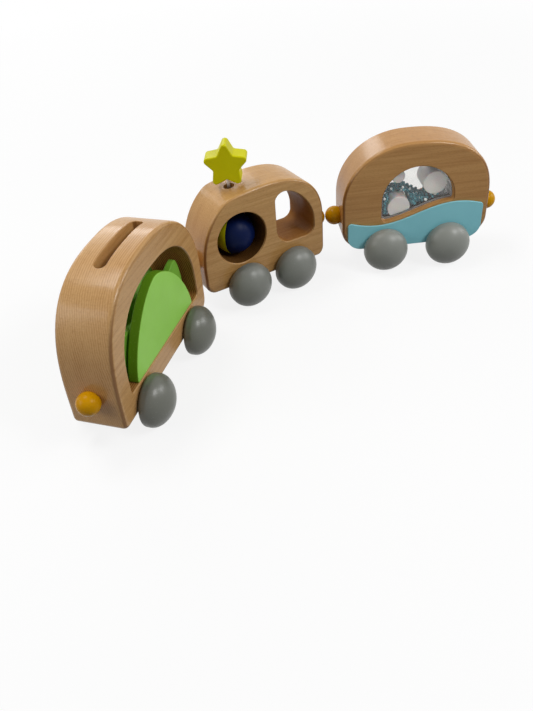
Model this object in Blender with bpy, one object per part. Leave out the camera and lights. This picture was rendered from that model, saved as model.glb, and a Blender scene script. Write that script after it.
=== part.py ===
# Wooden toy train: three arched cars on domed wheels, joined by magnetic balls.
# The front car holds painted hills under a posting slot, the middle car a spinning star and ball,
# and the rear car a window with loose beads.
# Each car is drawn in its own frame: X from front to rear, Y across with the shown side at -Y, Z up
# from the floor, origin midway between the axles.
import math

import bmesh
import bpy
from mathutils import Vector

MM = 0.001

# Clearances
SEAT_GAP = 0.3 * MM
RUN_GAP = 0.3 * MM
WHEEL_GAP = 1.0 * MM
CUT_OVER = 3.0 * MM

# Wheels, axles and the strips that hold the axles in the underside grooves
WHEEL_RADIUS = 18.0 * MM
WHEEL_BACK_ROUND = 2.5 * MM
WHEEL_RIM_WIDTH = 2.5 * MM
WHEEL_DOME_HEIGHT = 12.3 * MM
WHEEL_DOME_POWER = 1.8
AXLE_RADIUS = 2.0 * MM
AXLE_GRIP = 9.0 * MM
AXLE_DEPTH = 0.4 * MM
STRIP_WIDTH = 14.0 * MM
STRIP_HEIGHT = 4.0 * MM
STRIP_OVERHANG = 10.0 * MM

# Coupling balls, each with a tenon into the car's end and a magnet behind its tip
BALL_RADIUS = 7.7 * MM
BALL_HEIGHT = 41.9 * MM
BALL_STANDOFF = 4.0 * MM
BALL_CONTACT_GAP = 0.4 * MM
TENON_RADIUS = 4.5 * MM
TENON_LENGTH = 11.0 * MM
MAGNET_RADIUS = 2.5 * MM
MAGNET_LENGTH = 8.0 * MM
MAGNET_COVER = 2.0 * MM

# Bodies
BODY_WIDTH = 37.5 * MM
EDGE_ROUND = 3.2 * MM
RIM_ROUND = 1.0 * MM

# Bend of the train as it stands
FRONT_CAR_YAW = math.radians(43.0)
REAR_CAR_YAW = math.radians(-25.0)

# Front car: outline, cavity, slot and hills
FRONT_WHEELBASE = 76.5 * MM
FRONT_NOSE = 69.4 * MM
FRONT_TAIL = 71.6 * MM
FRONT_TOP = 111.8 * MM
FRONT_CROWN_X = 3.0 * MM
FRONT_NOSE_SPRING = 33.0 * MM
FRONT_NOSE_POWER = 2.85
FRONT_NOSE_FOOT = (5.0 * MM, 5.0 * MM)
FRONT_TAIL_SPRING = 51.0 * MM
FRONT_TAIL_POWER = 2.15
FRONT_TAIL_FOOT = (7.0 * MM, 10.0 * MM)
CAVITY_NOSE = 53.6 * MM
CAVITY_TAIL = 58.1 * MM
CAVITY_FLOOR = 35.5 * MM
CAVITY_TOP = 94.7 * MM
CAVITY_CROWN_X = 1.0 * MM
CAVITY_SPRING = 46.0 * MM
CAVITY_POWER = 2.42
CAVITY_CORNER = (2.0 * MM, 3.0 * MM)
SLOT_LENGTH = 58.0 * MM
SLOT_WIDTH = 8.0 * MM
SLOT_X = -0.5 * MM
HILL_INSET = 0.3 * MM
HILL_OUTER_WIDTH = 7.0 * MM
HILL_PAIR_GAP = 1.7 * MM
HILL_INNER_WIDTH = 4.8 * MM
HILL_EDGE_ROUND = 0.8 * MM
HILL_NOSE = 43.5 * MM
HILL_TAIL = 47.5 * MM
HILL_PEAK_X = 2.5 * MM
HILL_RISE = 50.8 * MM
HILL_POWER = 1.6
RIDGE_NOSE = 47.0 * MM
RIDGE_TAIL = 55.8 * MM
RIDGE_LOW_X = -33.0 * MM
RIDGE_LOW_RISE = 28.5 * MM
RIDGE_DIP_X = 15.0 * MM
RIDGE_DIP_RISE = 20.2 * MM
RIDGE_HIGH_X = 44.0 * MM
RIDGE_HIGH_RISE = 33.5 * MM
RIDGE_POWER = 1.9

# Middle car: outline, round chamber, window and spinner
MIDDLE_WHEELBASE = 42.3 * MM
MIDDLE_NOSE = 55.7 * MM
MIDDLE_TAIL = 52.3 * MM
MIDDLE_TOP = 94.0 * MM
MIDDLE_CROWN_X = 3.0 * MM
MIDDLE_NOSE_SPRING = 40.0 * MM
MIDDLE_NOSE_CENTRE_X = -14.0 * MM
MIDDLE_SHOULDER_X = -31.3 * MM
MIDDLE_SHOULDER_DROP = 3.6 * MM
MIDDLE_NOSE_FOOT = (8.0 * MM, 9.0 * MM)
MIDDLE_TAIL_SPRING = 51.0 * MM
MIDDLE_TAIL_POWER = 2.45
MIDDLE_TAIL_FOOT = (6.0 * MM, 8.0 * MM)
CHAMBER_X = -21.7 * MM
CHAMBER_Z = 57.0 * MM
CHAMBER_RADIUS = 20.8 * MM
CHAMBER_BACK_WIDTH = 1.6 * MM
CHAMBER_BACK_CLEARANCE = 0.45 * MM
WINDOW_NOSE = -9.0 * MM
WINDOW_TAIL = 43.0 * MM
WINDOW_FLOOR = 40.3 * MM
WINDOW_TOP = 83.7 * MM
WINDOW_CROWN_X = 17.2 * MM
WINDOW_NOSE_DROP = 6.7 * MM
WINDOW_NOSE_POWER = 2.0
WINDOW_TAIL_SPRING = 53.3 * MM
WINDOW_TAIL_POWER = 1.68
WINDOW_NOSE_CORNER = (12.0 * MM, 14.0 * MM)
WINDOW_TAIL_CORNER = (8.0 * MM, 7.0 * MM)
SPIN_X = -19.5 * MM
SPIN_BALL_RADIUS = 16.4 * MM
SPIN_BALL_Z = 53.6 * MM
SPIN_BALL_TURN = math.radians(128.0)
ROD_RADIUS = 1.3 * MM
ROD_FOOT_DEPTH = 6.0 * MM
ROOF_BORE_RADIUS = 4.2 * MM
ROOF_BORE_DEPTH = 4.0 * MM
STAR_LIFT = 5.0 * MM
STAR_TIP = 16.2 * MM
STAR_TIP_ROUND = 2.6 * MM
STAR_NECK = 10.2 * MM
STAR_NECK_ROUND = 2.5 * MM
STAR_WIDTH = 15.0 * MM
STAR_EDGE_ROUND = 1.0 * MM
STAR_TURN = math.radians(-32.0)
STAR_POINTS = 5

# Rear car: outline, window, panes, wave panels, pegs and beads
REAR_WHEELBASE = 51.8 * MM
REAR_NOSE = 60.7 * MM
REAR_TAIL = 58.9 * MM
REAR_TOP = 104.5 * MM
REAR_CROWN_X = -5.0 * MM
REAR_NOSE_SPRING = 55.0 * MM
REAR_NOSE_POWER = 2.1
REAR_NOSE_FOOT = (17.0 * MM, 16.0 * MM)
REAR_TAIL_SPRING = 54.0 * MM
REAR_TAIL_POWER = 2.55
REAR_TAIL_FOOT = (20.0 * MM, 18.0 * MM)
BEAD_WINDOW_NOSE = 28.8 * MM
BEAD_WINDOW_TAIL = 29.7 * MM
BEAD_WINDOW_TOP = 86.0 * MM
BEAD_WINDOW_CROWN_X = 0.0
BEAD_WINDOW_JAMB = 1.6 * MM
BEAD_WINDOW_POWER = 1.95
BEAD_WINDOW_NOSE_CORNER = (4.0 * MM, 4.0 * MM)
BEAD_WINDOW_TAIL_CORNER = (2.2 * MM, 2.2 * MM)
WAVE_MID = 45.3 * MM
WAVE_RISE = 7.3 * MM
WAVE_HALF_LENGTH = 64.0 * MM
SILL_ABOVE_WAVE = 1.3 * MM
PANEL_WIDTH = 1.5 * MM
PANEL_NOSE = 56.5 * MM
PANEL_TAIL = 54.0 * MM
PANEL_CORNER = 3.0 * MM
PANEL_FOOT_MARGIN = 0.4 * MM
PANEL_NOSE_FOOT = (12.0 * MM, 10.0 * MM)
PANEL_TAIL_FOOT = (14.0 * MM, 12.0 * MM)
PANEL_EDGE_ROUND = 0.4 * MM
PANE_RECESS = 4.5 * MM
PANE_WIDTH = 2.0 * MM
CASE_WALL = 1.2 * MM
PEGS = {
    "upper_rear": (16.4 * MM, 64.5 * MM, 7.3 * MM),
    "lower_front": (-12.5 * MM, 51.8 * MM, 7.2 * MM),
    "upper_front": (-13.5 * MM, 73.4 * MM, 5.4 * MM),
}
HEAP_NOSE_Z = 55.0 * MM
HEAP_PEAK_X = -7.5 * MM
HEAP_PEAK_Z = 63.0 * MM
HEAP_TAIL_X = 14.0 * MM
BEAD_RADIUS = 2.4 * MM
BEAD_BUMP = 0.8 * MM

# Facets
ARCH_STEPS = 9
FOOT_STEPS = 4
EDGE_STEPS = 2
WHEEL_SIDES = 22
DOME_STEPS = 4
BALL_SIDES = 16
BALL_ARC_STEPS = 6
ROUND_SIDES = 14
RING_SIDES = 32
ROUND_POWER = 2.0
MERGE_WITHIN = 0.02 * MM
MITRE_LIMIT = 0.5
SHARP_ANGLE = math.radians(40.0)

# Worked out from the sizes above
BODY_FLOOR = WHEEL_RADIUS - AXLE_DEPTH
WHEEL_SEAT = BODY_WIDTH / 2 + WHEEL_GAP
REAR_BODY_WIDTH = BODY_WIDTH - 2 * PANEL_WIDTH
BALL_PITCH = 2 * BALL_RADIUS + BALL_CONTACT_GAP

BEECH = ("beech", (0.47, 0.27, 0.12), 0.35, 0.0)
WHEEL_GREY = ("wheel_grey", (0.22, 0.23, 0.21), 0.35, 0.0)
STEEL = ("steel", (0.55, 0.55, 0.56), 0.3, 1.0)
MAGNET = ("magnet", (0.3, 0.3, 0.32), 0.3, 1.0)
BALL_YELLOW = ("ball_yellow", (0.62, 0.3, 0.01), 0.35, 0.0)
GREEN = ("leaf_green", (0.24, 0.48, 0.1), 0.4, 0.0)
DARK_GREEN = ("dark_green", (0.1, 0.26, 0.02), 0.4, 0.0)
NAVY = ("navy", (0.006, 0.012, 0.05), 0.3, 0.0)
LIME = ("lime", (0.55, 0.55, 0.03), 0.4, 0.0)
CLEAR = ("clear", (0.85, 0.9, 0.92), 0.08, 0.0)
LIGHT_BLUE = ("light_blue", (0.2, 0.4, 0.44), 0.4, 0.0)
PEG_WHITE = ("peg_white", (0.6, 0.6, 0.6), 0.3, 0.0)
TEAL = ("bead_teal", (0.04, 0.13, 0.16), 0.3, 0.0)


def clear_scene():
    for old in list(bpy.data.objects):
        bpy.data.objects.remove(old, do_unlink=True)


def material(look):
    name, colour, roughness, metallic = look
    made = bpy.data.materials.get(name)
    if made is None:
        made = bpy.data.materials.new(name)
        made.use_nodes = True
        shader = made.node_tree.nodes["Principled BSDF"]
        shader.inputs["Base Color"].default_value = (*colour, 1.0)
        shader.inputs["Roughness"].default_value = roughness
        shader.inputs["Metallic"].default_value = metallic
    return made


def empty(name, parent=None, location=(0, 0, 0), yaw=0.0):
    made = bpy.data.objects.new(name, None)
    made.empty_display_size = WHEEL_RADIUS / 2
    bpy.context.collection.objects.link(made)
    made.parent = parent
    made.location = location
    made.rotation_euler = (0, 0, yaw)
    return made


def piece(name, shape, look, parent, location=(0, 0, 0), turn=(0, 0, 0)):
    bmesh.ops.recalc_face_normals(shape, faces=shape.faces)
    mesh = bpy.data.meshes.new(name)
    shape.to_mesh(mesh)
    shape.free()
    mesh.shade_smooth()
    mesh.set_sharp_from_angle(angle=SHARP_ANGLE)
    made = bpy.data.objects.new(name, mesh)
    bpy.context.collection.objects.link(made)
    made.parent = parent
    made.location = location
    made.rotation_euler = turn
    if look is not None:
        mesh.materials.append(material(look))
    return made


def cutter(name, shape, parent, location=(0, 0, 0), turn=(0, 0, 0)):
    made = piece(name, shape, None, parent, location, turn)
    made.hide_render = True
    made.display_type = "WIRE"
    return made


def cut(target, tools):
    for tool in tools:
        step = target.modifiers.new(tool.name, "BOOLEAN")
        step.operation = "DIFFERENCE"
        step.solver = "EXACT"
        step.object = tool


# Outlines are lists of (x, z) that run counter-clockwise seen from -Y

def quarter(x, z, reach, rise, power, steps):
    points = []
    for step in range(steps + 1):
        angle = math.pi / 2 * step / steps
        across = abs(math.cos(angle)) ** (2 / power)
        up = abs(math.sin(angle)) ** (2 / power)
        points.append((x + reach * across, z + rise * up))
    return points


def tidy(points):
    kept = []
    for point in points:
        if not kept or math.dist(point, kept[-1]) > MERGE_WITHIN:
            kept.append(point)
    if math.dist(kept[0], kept[-1]) <= MERGE_WITHIN:
        kept.pop()
    return kept


def corner(end, side, floor, foot):
    reach = side * foot[0]
    return quarter(end - reach, floor + foot[1], reach, -foot[1], ROUND_POWER, FOOT_STEPS)


def arch(nose, tail, floor, top, crown_x, nose_end, tail_end):
    nose_spring, nose_power, nose_foot = nose_end
    tail_spring, tail_power, tail_foot = tail_end
    tail_arch = quarter(crown_x, tail_spring, tail - crown_x, top - tail_spring, tail_power, ARCH_STEPS)
    nose_arch = quarter(crown_x, nose_spring, -nose - crown_x, top - nose_spring, nose_power, ARCH_STEPS)
    tail_corner = corner(tail, 1, floor, tail_foot)
    nose_corner = corner(-nose, -1, floor, nose_foot)
    return tidy(tail_corner[::-1] + tail_arch + nose_arch[::-1] + nose_corner)


def ring(x, z, radius, sides):
    turns = [2 * math.pi * (side + 0.5) / sides for side in range(sides)]
    return [(x + radius * math.cos(turn), z + radius * math.sin(turn)) for turn in turns]


def obround(length, width, steps):
    reach = (length - width) / 2
    points = []
    for centre, start in ((reach, -math.pi / 2), (-reach, math.pi / 2)):
        for step in range(steps + 1):
            angle = start + math.pi * step / steps
            points.append((centre + width / 2 * math.cos(angle), width / 2 * math.sin(angle)))
    return points


def grow(points, distance):
    grown = []
    count = len(points)
    for index, point in enumerate(points):
        before = Vector(point) - Vector(points[index - 1])
        after = Vector(points[(index + 1) % count]) - Vector(point)
        before.normalize()
        after.normalize()
        out = Vector((before.y + after.y, -before.x - after.x))
        out.normalize()
        slant = max(out.dot(Vector((before.y, -before.x))), MITRE_LIMIT)
        grown.append((point[0] + out.x * distance / slant, point[1] + out.y * distance / slant))
    return grown


# Rings are (y, growth of the outline there), from -Y to +Y

def rounded_rings(low, high, radius):
    near = []
    for step in range(EDGE_STEPS + 1):
        angle = math.pi / 2 * step / EDGE_STEPS
        near.append((radius * (1 - math.cos(angle)), radius * (math.sin(angle) - 1)))
    first = [(low + inward, growth) for inward, growth in near]
    last = [(high - inward, growth) for inward, growth in reversed(near)]
    return first + last


def flared_rings(width, radius):
    half = width / 2
    lip = radius * (2 - math.sqrt(2))
    near = [(-CUT_OVER, lip + CUT_OVER), (lip / 2, lip / 2), (radius, 0.0)]
    first = [(-half + inward, growth) for inward, growth in near]
    last = [(half - inward, growth) for inward, growth in reversed(near)]
    return first + last


def slab(points, rings):
    shape = bmesh.new()
    loops = []
    for y, growth in rings:
        outline = grow(points, growth) if growth else points
        loops.append([shape.verts.new((x, y, z)) for x, z in outline])
    for near, far in zip(loops, loops[1:]):
        for index in range(len(near)):
            after = (index + 1) % len(near)
            shape.faces.new((near[index], near[after], far[after], far[index]))
    shape.faces.new(loops[0])
    shape.faces.new(loops[-1])
    return shape


def turned(profile, sides):
    shape = bmesh.new()
    loops = []
    for along, radius in profile:
        if radius == 0:
            loops.append([shape.verts.new((0, 0, along))])
            continue
        loops.append([shape.verts.new((x, y, along)) for x, y in ring(0, 0, radius, sides)])
    for low, high in zip(loops, loops[1:]):
        for side in range(sides):
            after = (side + 1) % sides
            bottom = [low[side % len(low)], low[after % len(low)]]
            top = [high[after % len(high)], high[side % len(high)]]
            unique = list(dict.fromkeys(bottom + top))
            if len(unique) > 2:
                shape.faces.new(unique)
    return shape


def rod_profile(low, high, radius):
    return [(low, 0), (low, radius), (high, radius), (high, 0)]


# Wheels, axles and strips

def wheel_shape():
    bore = AXLE_RADIUS + SEAT_GAP
    profile = [(AXLE_GRIP + SEAT_GAP, 0), (AXLE_GRIP + SEAT_GAP, bore), (0, bore)]
    shoulder = WHEEL_RADIUS - WHEEL_BACK_ROUND
    for step in range(EDGE_STEPS + 1):
        angle = math.pi / 2 * step / EDGE_STEPS
        rise = WHEEL_BACK_ROUND * math.sin(angle)
        profile.append((WHEEL_BACK_ROUND * (1 - math.cos(angle)), shoulder + rise))
    rim = WHEEL_BACK_ROUND + WHEEL_RIM_WIDTH
    dome = quarter(0, rim, WHEEL_RADIUS, WHEEL_DOME_HEIGHT, WHEEL_DOME_POWER, DOME_STEPS)
    profile += [(along, radius) for radius, along in dome[:-1]]
    profile.append((rim + WHEEL_DOME_HEIGHT, 0))
    return turned(profile, WHEEL_SIDES)


def running_gear(name, car, wheelbase):
    tools = []
    for place, x in (("front", -wheelbase / 2), ("rear", wheelbase / 2)):
        axis = empty(f"{name}_{place}_wheelset", car, (x, 0, WHEEL_RADIUS))
        half = WHEEL_SEAT + AXLE_GRIP
        axle = turned(rod_profile(-half, half, AXLE_RADIUS), ROUND_SIDES)
        piece(f"{name}_{place}_axle", axle, STEEL, axis, turn=(math.pi / 2, 0, 0))
        for side, sign in (("left", -1), ("right", 1)):
            turn = (-sign * math.pi / 2, 0, 0)
            seat = (0, sign * WHEEL_SEAT, 0)
            piece(f"{name}_{place}_wheel_{side}", wheel_shape(), WHEEL_GREY, axis, seat, turn)
        groove = turned(rod_profile(-WHEEL_SEAT, WHEEL_SEAT, AXLE_RADIUS + RUN_GAP), ROUND_SIDES)
        place_at = (x, 0, WHEEL_RADIUS)
        tools.append(cutter(f"{name}_{place}_groove", groove, car, place_at, (math.pi / 2, 0, 0)))
    reach = wheelbase / 2 + STRIP_OVERHANG
    top = BODY_FLOOR - SEAT_GAP
    low = top - STRIP_HEIGHT
    outline = [(-reach, low), (reach, low), (reach, top), (-reach, top)]
    rings = [(-STRIP_WIDTH / 2, 0), (STRIP_WIDTH / 2, 0)]
    strip = piece(f"{name}_axle_strip", slab(outline, rings), BEECH, car)
    cut(strip, tools)
    return tools


# Coupling balls

def ball_arc(radius, neck):
    start = math.pi - math.asin(neck / radius)
    points = []
    for step in range(BALL_ARC_STEPS):
        angle = start * (1 - step / BALL_ARC_STEPS)
        points.append((radius * math.cos(angle), radius * math.sin(angle)))
    return points + [(radius, 0)]


def couplings(name, car, nose, tail):
    tools = []
    for place, x, sign in (("front", -nose - BALL_STANDOFF, -1), ("rear", tail + BALL_STANDOFF, 1)):
        centre = (x, 0, BALL_HEIGHT)
        turn = (0, sign * math.pi / 2, 0)
        bore = MAGNET_RADIUS + SEAT_GAP
        deep = BALL_RADIUS - MAGNET_COVER
        profile = [(deep, 0), (deep, bore), (-TENON_LENGTH, bore), (-TENON_LENGTH, TENON_RADIUS)]
        profile += ball_arc(BALL_RADIUS, TENON_RADIUS)
        piece(f"{name}_{place}_ball", turned(profile, BALL_SIDES), BALL_YELLOW, car, centre, turn)
        tip = deep - SEAT_GAP
        magnet = turned(rod_profile(tip - MAGNET_LENGTH, tip, MAGNET_RADIUS), ROUND_SIDES)
        piece(f"{name}_{place}_magnet", magnet, MAGNET, car, centre, turn)
        foot = -TENON_LENGTH - SEAT_GAP
        seat = [(foot, 0), (foot, TENON_RADIUS + SEAT_GAP)]
        seat += ball_arc(BALL_RADIUS + SEAT_GAP, TENON_RADIUS + SEAT_GAP)
        tools.append(cutter(f"{name}_{place}_seat", turned(seat, BALL_SIDES), car, centre, turn))
    return tools


# Front car

def hill_outline():
    base = CAVITY_FLOOR + SEAT_GAP
    tail_side = quarter(HILL_PEAK_X, base, HILL_TAIL - HILL_PEAK_X, HILL_RISE, HILL_POWER, ARCH_STEPS)
    nose_side = quarter(HILL_PEAK_X, base, -HILL_NOSE - HILL_PEAK_X, HILL_RISE, HILL_POWER, ARCH_STEPS)
    return tidy(tail_side + nose_side[::-1])


def blend(start, stop, steps):
    points = []
    for step in range(1, steps):
        share = step / steps
        ease = (1 - math.cos(math.pi * share)) / 2
        points.append((start[0] + (stop[0] - start[0]) * share, start[1] + (stop[1] - start[1]) * ease))
    return points


def ridge_outline():
    base = CAVITY_FLOOR + SEAT_GAP
    high = (RIDGE_HIGH_X, base + RIDGE_HIGH_RISE)
    dip = (RIDGE_DIP_X, base + RIDGE_DIP_RISE)
    low = (RIDGE_LOW_X, base + RIDGE_LOW_RISE)
    points = quarter(high[0], base, RIDGE_TAIL - high[0], RIDGE_HIGH_RISE, RIDGE_POWER, ARCH_STEPS)
    points += blend(high, dip, ARCH_STEPS // 2) + [dip] + blend(dip, low, ARCH_STEPS // 2)
    points += quarter(low[0], base, -RIDGE_NOSE - low[0], RIDGE_LOW_RISE, RIDGE_POWER, ARCH_STEPS)[::-1]
    return tidy(points)


def front_car(car):
    nose_end = (FRONT_NOSE_SPRING, FRONT_NOSE_POWER, FRONT_NOSE_FOOT)
    tail_end = (FRONT_TAIL_SPRING, FRONT_TAIL_POWER, FRONT_TAIL_FOOT)
    outline = arch(FRONT_NOSE, FRONT_TAIL, BODY_FLOOR, FRONT_TOP, FRONT_CROWN_X, nose_end, tail_end)
    rings = rounded_rings(-BODY_WIDTH / 2, BODY_WIDTH / 2, EDGE_ROUND)
    body = piece("front_body", slab(outline, rings), BEECH, car)
    end = (CAVITY_SPRING, CAVITY_POWER, CAVITY_CORNER)
    opening = arch(CAVITY_NOSE, CAVITY_TAIL, CAVITY_FLOOR, CAVITY_TOP, CAVITY_CROWN_X, end, end)
    cavity = cutter("front_cavity", slab(opening, flared_rings(BODY_WIDTH, RIM_ROUND)), car)
    low = CAVITY_TOP - (FRONT_TOP - CAVITY_TOP) / 2
    high = FRONT_TOP + CUT_OVER
    slot_shape = slab(obround(SLOT_LENGTH, SLOT_WIDTH, ARCH_STEPS), [(low, 0), (high, 0)])
    slot = cutter("front_slot", slot_shape, car, (SLOT_X, 0, 0), (math.pi / 2, 0, 0))
    cut(body, [cavity, slot])
    cut(body, running_gear("front", car, FRONT_WHEELBASE))
    cut(body, couplings("front", car, FRONT_NOSE, FRONT_TAIL))
    outer = BODY_WIDTH / 2 - HILL_INSET
    inner = outer - HILL_OUTER_WIDTH - HILL_PAIR_GAP
    for side, sign in (("left", -1), ("right", 1)):
        low, high = sorted((sign * outer, sign * (outer - HILL_OUTER_WIDTH)))
        hill = slab(hill_outline(), rounded_rings(low, high, HILL_EDGE_ROUND))
        piece(f"front_hill_{side}", hill, GREEN, car)
    ridge = slab(ridge_outline(), rounded_rings(-inner, HILL_INNER_WIDTH - inner, HILL_EDGE_ROUND))
    piece("front_ridge", ridge, DARK_GREEN, car)


# Middle car

def arc(centre, radius, middle, half_sweep):
    angles = [middle + half_sweep * step / EDGE_STEPS for step in range(-EDGE_STEPS, EDGE_STEPS + 1)]
    return [(centre.x + radius * math.cos(turn), centre.y + radius * math.sin(turn)) for turn in angles]


def star_outline():
    points = []
    pitch = math.pi / STAR_POINTS
    tip_centre = STAR_TIP - STAR_TIP_ROUND
    neck_centre = STAR_NECK + STAR_NECK_ROUND
    neck_at = Vector((-neck_centre * math.sin(pitch), neck_centre * math.cos(pitch)))
    span = neck_at - Vector((0, tip_centre))
    heading = math.atan2(span.y, span.x) % (2 * math.pi)
    sweep = heading - math.acos((STAR_TIP_ROUND + STAR_NECK_ROUND) / span.length) - math.pi / 2
    for point in range(STAR_POINTS):
        spoke = math.pi / 2 + 2 * pitch * point
        tip = Vector((math.cos(spoke), math.sin(spoke))) * tip_centre
        neck = Vector((math.cos(spoke + pitch), math.sin(spoke + pitch))) * neck_centre
        points += arc(tip, STAR_TIP_ROUND, spoke, sweep)
        points += arc(neck, STAR_NECK_ROUND, spoke + pitch + math.pi, pitch - sweep)
    return points


def half_ball_shape():
    shape = bmesh.new()
    bore = ROD_RADIUS + SEAT_GAP
    lowest = math.asin(bore / SPIN_BALL_RADIUS)
    profile = []
    steps = BALL_SIDES // 2
    for step in range(steps + 1):
        angle = lowest + (math.pi - 2 * lowest) * step / steps
        radius = SPIN_BALL_RADIUS * math.sin(angle)
        profile.append(shape.verts.new((0, -radius, -SPIN_BALL_RADIUS * math.cos(angle))))
    first = shape.faces.new(profile)
    axis = (0, 0, 1)
    bmesh.ops.spin(shape, geom=[first], axis=axis, cent=(0, 0, 0), angle=math.pi, steps=steps)
    return shape


def spinner(car, roof):
    chamber_floor = CHAMBER_Z - CHAMBER_RADIUS
    foot = chamber_floor - ROD_FOOT_DEPTH
    star_z = roof + STAR_LIFT + STAR_TIP * math.cos(math.pi / STAR_POINTS)
    axis = empty("middle_spinner", car, (SPIN_X, 0, 0))
    rod = turned(rod_profile(foot + SEAT_GAP, star_z, ROD_RADIUS), ROUND_SIDES)
    piece("middle_rod", rod, STEEL, axis)
    star_shape = slab(star_outline(), rounded_rings(-STAR_WIDTH / 2, STAR_WIDTH / 2, STAR_EDGE_ROUND))
    star = piece("middle_star", star_shape, LIME, axis, (0, 0, star_z), (0, 0, STAR_TURN))
    socket = turned(rod_profile(roof, star_z + SEAT_GAP, ROD_RADIUS + SEAT_GAP), ROUND_SIDES)
    cut(star, [cutter("middle_star_socket", socket, axis)])
    for name, look, turn in (("lime", LIME, SPIN_BALL_TURN), ("navy", NAVY, SPIN_BALL_TURN + math.pi)):
        apart = Vector((math.cos(turn), math.sin(turn), 0)) * SEAT_GAP / 2
        centre = apart + Vector((0, 0, SPIN_BALL_Z))
        piece(f"middle_ball_{name}", half_ball_shape(), look, axis, centre, (0, 0, turn))
    bearing = turned(rod_profile(foot, roof + CUT_OVER, ROD_RADIUS + RUN_GAP), ROUND_SIDES)
    well = turned(rod_profile(roof - ROOF_BORE_DEPTH, roof + CUT_OVER, ROOF_BORE_RADIUS), RING_SIDES)
    return [cutter("middle_bearing", bearing, axis), cutter("middle_roof_well", well, axis)]


def middle_roof(x):
    share = (MIDDLE_CROWN_X - x) / (MIDDLE_CROWN_X - MIDDLE_SHOULDER_X)
    return MIDDLE_TOP - MIDDLE_SHOULDER_DROP * share ** 2


def middle_outline():
    reach = -MIDDLE_NOSE - MIDDLE_NOSE_CENTRE_X
    stop = math.acos((MIDDLE_SHOULDER_X - MIDDLE_NOSE_CENTRE_X) / reach)
    rise = (middle_roof(MIDDLE_SHOULDER_X) - MIDDLE_NOSE_SPRING) / math.sin(stop)
    nose_side = []
    for step in range(ARCH_STEPS):
        angle = stop * step / ARCH_STEPS
        x = MIDDLE_NOSE_CENTRE_X + reach * math.cos(angle)
        nose_side.append((x, MIDDLE_NOSE_SPRING + rise * math.sin(angle)))
    for step in range(FOOT_STEPS):
        x = MIDDLE_SHOULDER_X + (MIDDLE_CROWN_X - MIDDLE_SHOULDER_X) * step / FOOT_STEPS
        nose_side.append((x, middle_roof(x)))
    spring = MIDDLE_TAIL_SPRING
    reach = MIDDLE_TAIL - MIDDLE_CROWN_X
    tail_side = quarter(MIDDLE_CROWN_X, spring, reach, MIDDLE_TOP - spring, MIDDLE_TAIL_POWER, ARCH_STEPS)
    tail_corner = corner(MIDDLE_TAIL, 1, BODY_FLOOR, MIDDLE_TAIL_FOOT)
    nose_corner = corner(-MIDDLE_NOSE, -1, BODY_FLOOR, MIDDLE_NOSE_FOOT)
    return tidy(tail_corner[::-1] + tail_side + nose_side[::-1] + nose_corner)


def middle_car(car):
    half = BODY_WIDTH / 2
    rings = rounded_rings(-half, half, EDGE_ROUND)
    body = piece("middle_body", slab(middle_outline(), rings), BEECH, car)
    round_hole = ring(CHAMBER_X, CHAMBER_Z, CHAMBER_RADIUS, RING_SIDES)
    flare = flared_rings(BODY_WIDTH, RIM_ROUND)
    one_flare = flare[:len(flare) // 2] + [(half + CUT_OVER, 0)]
    chamber = cutter("middle_chamber", slab(round_hole, one_flare), car)
    back = ring(CHAMBER_X, CHAMBER_Z, CHAMBER_RADIUS - SEAT_GAP, RING_SIDES)
    face = SPIN_BALL_RADIUS + CHAMBER_BACK_CLEARANCE
    piece("middle_chamber_back", slab(back, [(face, 0), (face + CHAMBER_BACK_WIDTH, 0)]), BEECH, car)
    nose_end = (WINDOW_TOP - WINDOW_NOSE_DROP, WINDOW_NOSE_POWER, WINDOW_NOSE_CORNER)
    tail_end = (WINDOW_TAIL_SPRING, WINDOW_TAIL_POWER, WINDOW_TAIL_CORNER)
    opening = arch(WINDOW_NOSE, WINDOW_TAIL, WINDOW_FLOOR, WINDOW_TOP, WINDOW_CROWN_X, nose_end, tail_end)
    window = cutter("middle_window", slab(opening, flare), car)
    cut(body, [chamber, window])
    cut(body, spinner(car, middle_roof(SPIN_X)))
    cut(body, running_gear("middle", car, MIDDLE_WHEELBASE))
    cut(body, couplings("middle", car, MIDDLE_NOSE, MIDDLE_TAIL))


# Rear car

def wave(x):
    return WAVE_MID + WAVE_RISE * math.sin(math.pi * x / WAVE_HALF_LENGTH)


def wave_line(low_x, high_x, lift, steps):
    places = [low_x + (high_x - low_x) * step / steps for step in range(steps + 1)]
    return [(x, wave(x) + lift) for x in places]


def bead_window():
    sill_nose = BEAD_WINDOW_NOSE_CORNER[0] - BEAD_WINDOW_NOSE
    sill_tail = BEAD_WINDOW_TAIL - BEAD_WINDOW_TAIL_CORNER[0]
    sill = wave_line(sill_nose, sill_tail, SILL_ABOVE_WAVE, ARCH_STEPS)
    nose_corner = corner(-BEAD_WINDOW_NOSE, -1, sill[0][1], BEAD_WINDOW_NOSE_CORNER)
    tail_corner = corner(BEAD_WINDOW_TAIL, 1, sill[-1][1], BEAD_WINDOW_TAIL_CORNER)
    spring = tail_corner[0][1] + BEAD_WINDOW_JAMB
    rise = BEAD_WINDOW_TOP - spring
    reach = BEAD_WINDOW_TAIL - BEAD_WINDOW_CROWN_X
    tail_side = quarter(BEAD_WINDOW_CROWN_X, spring, reach, rise, BEAD_WINDOW_POWER, ARCH_STEPS)
    reach = -BEAD_WINDOW_NOSE - BEAD_WINDOW_CROWN_X
    nose_side = quarter(BEAD_WINDOW_CROWN_X, spring, reach, rise, BEAD_WINDOW_POWER, ARCH_STEPS)
    return tidy(sill + tail_corner[::-1] + tail_side + nose_side[::-1] + nose_corner)


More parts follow.
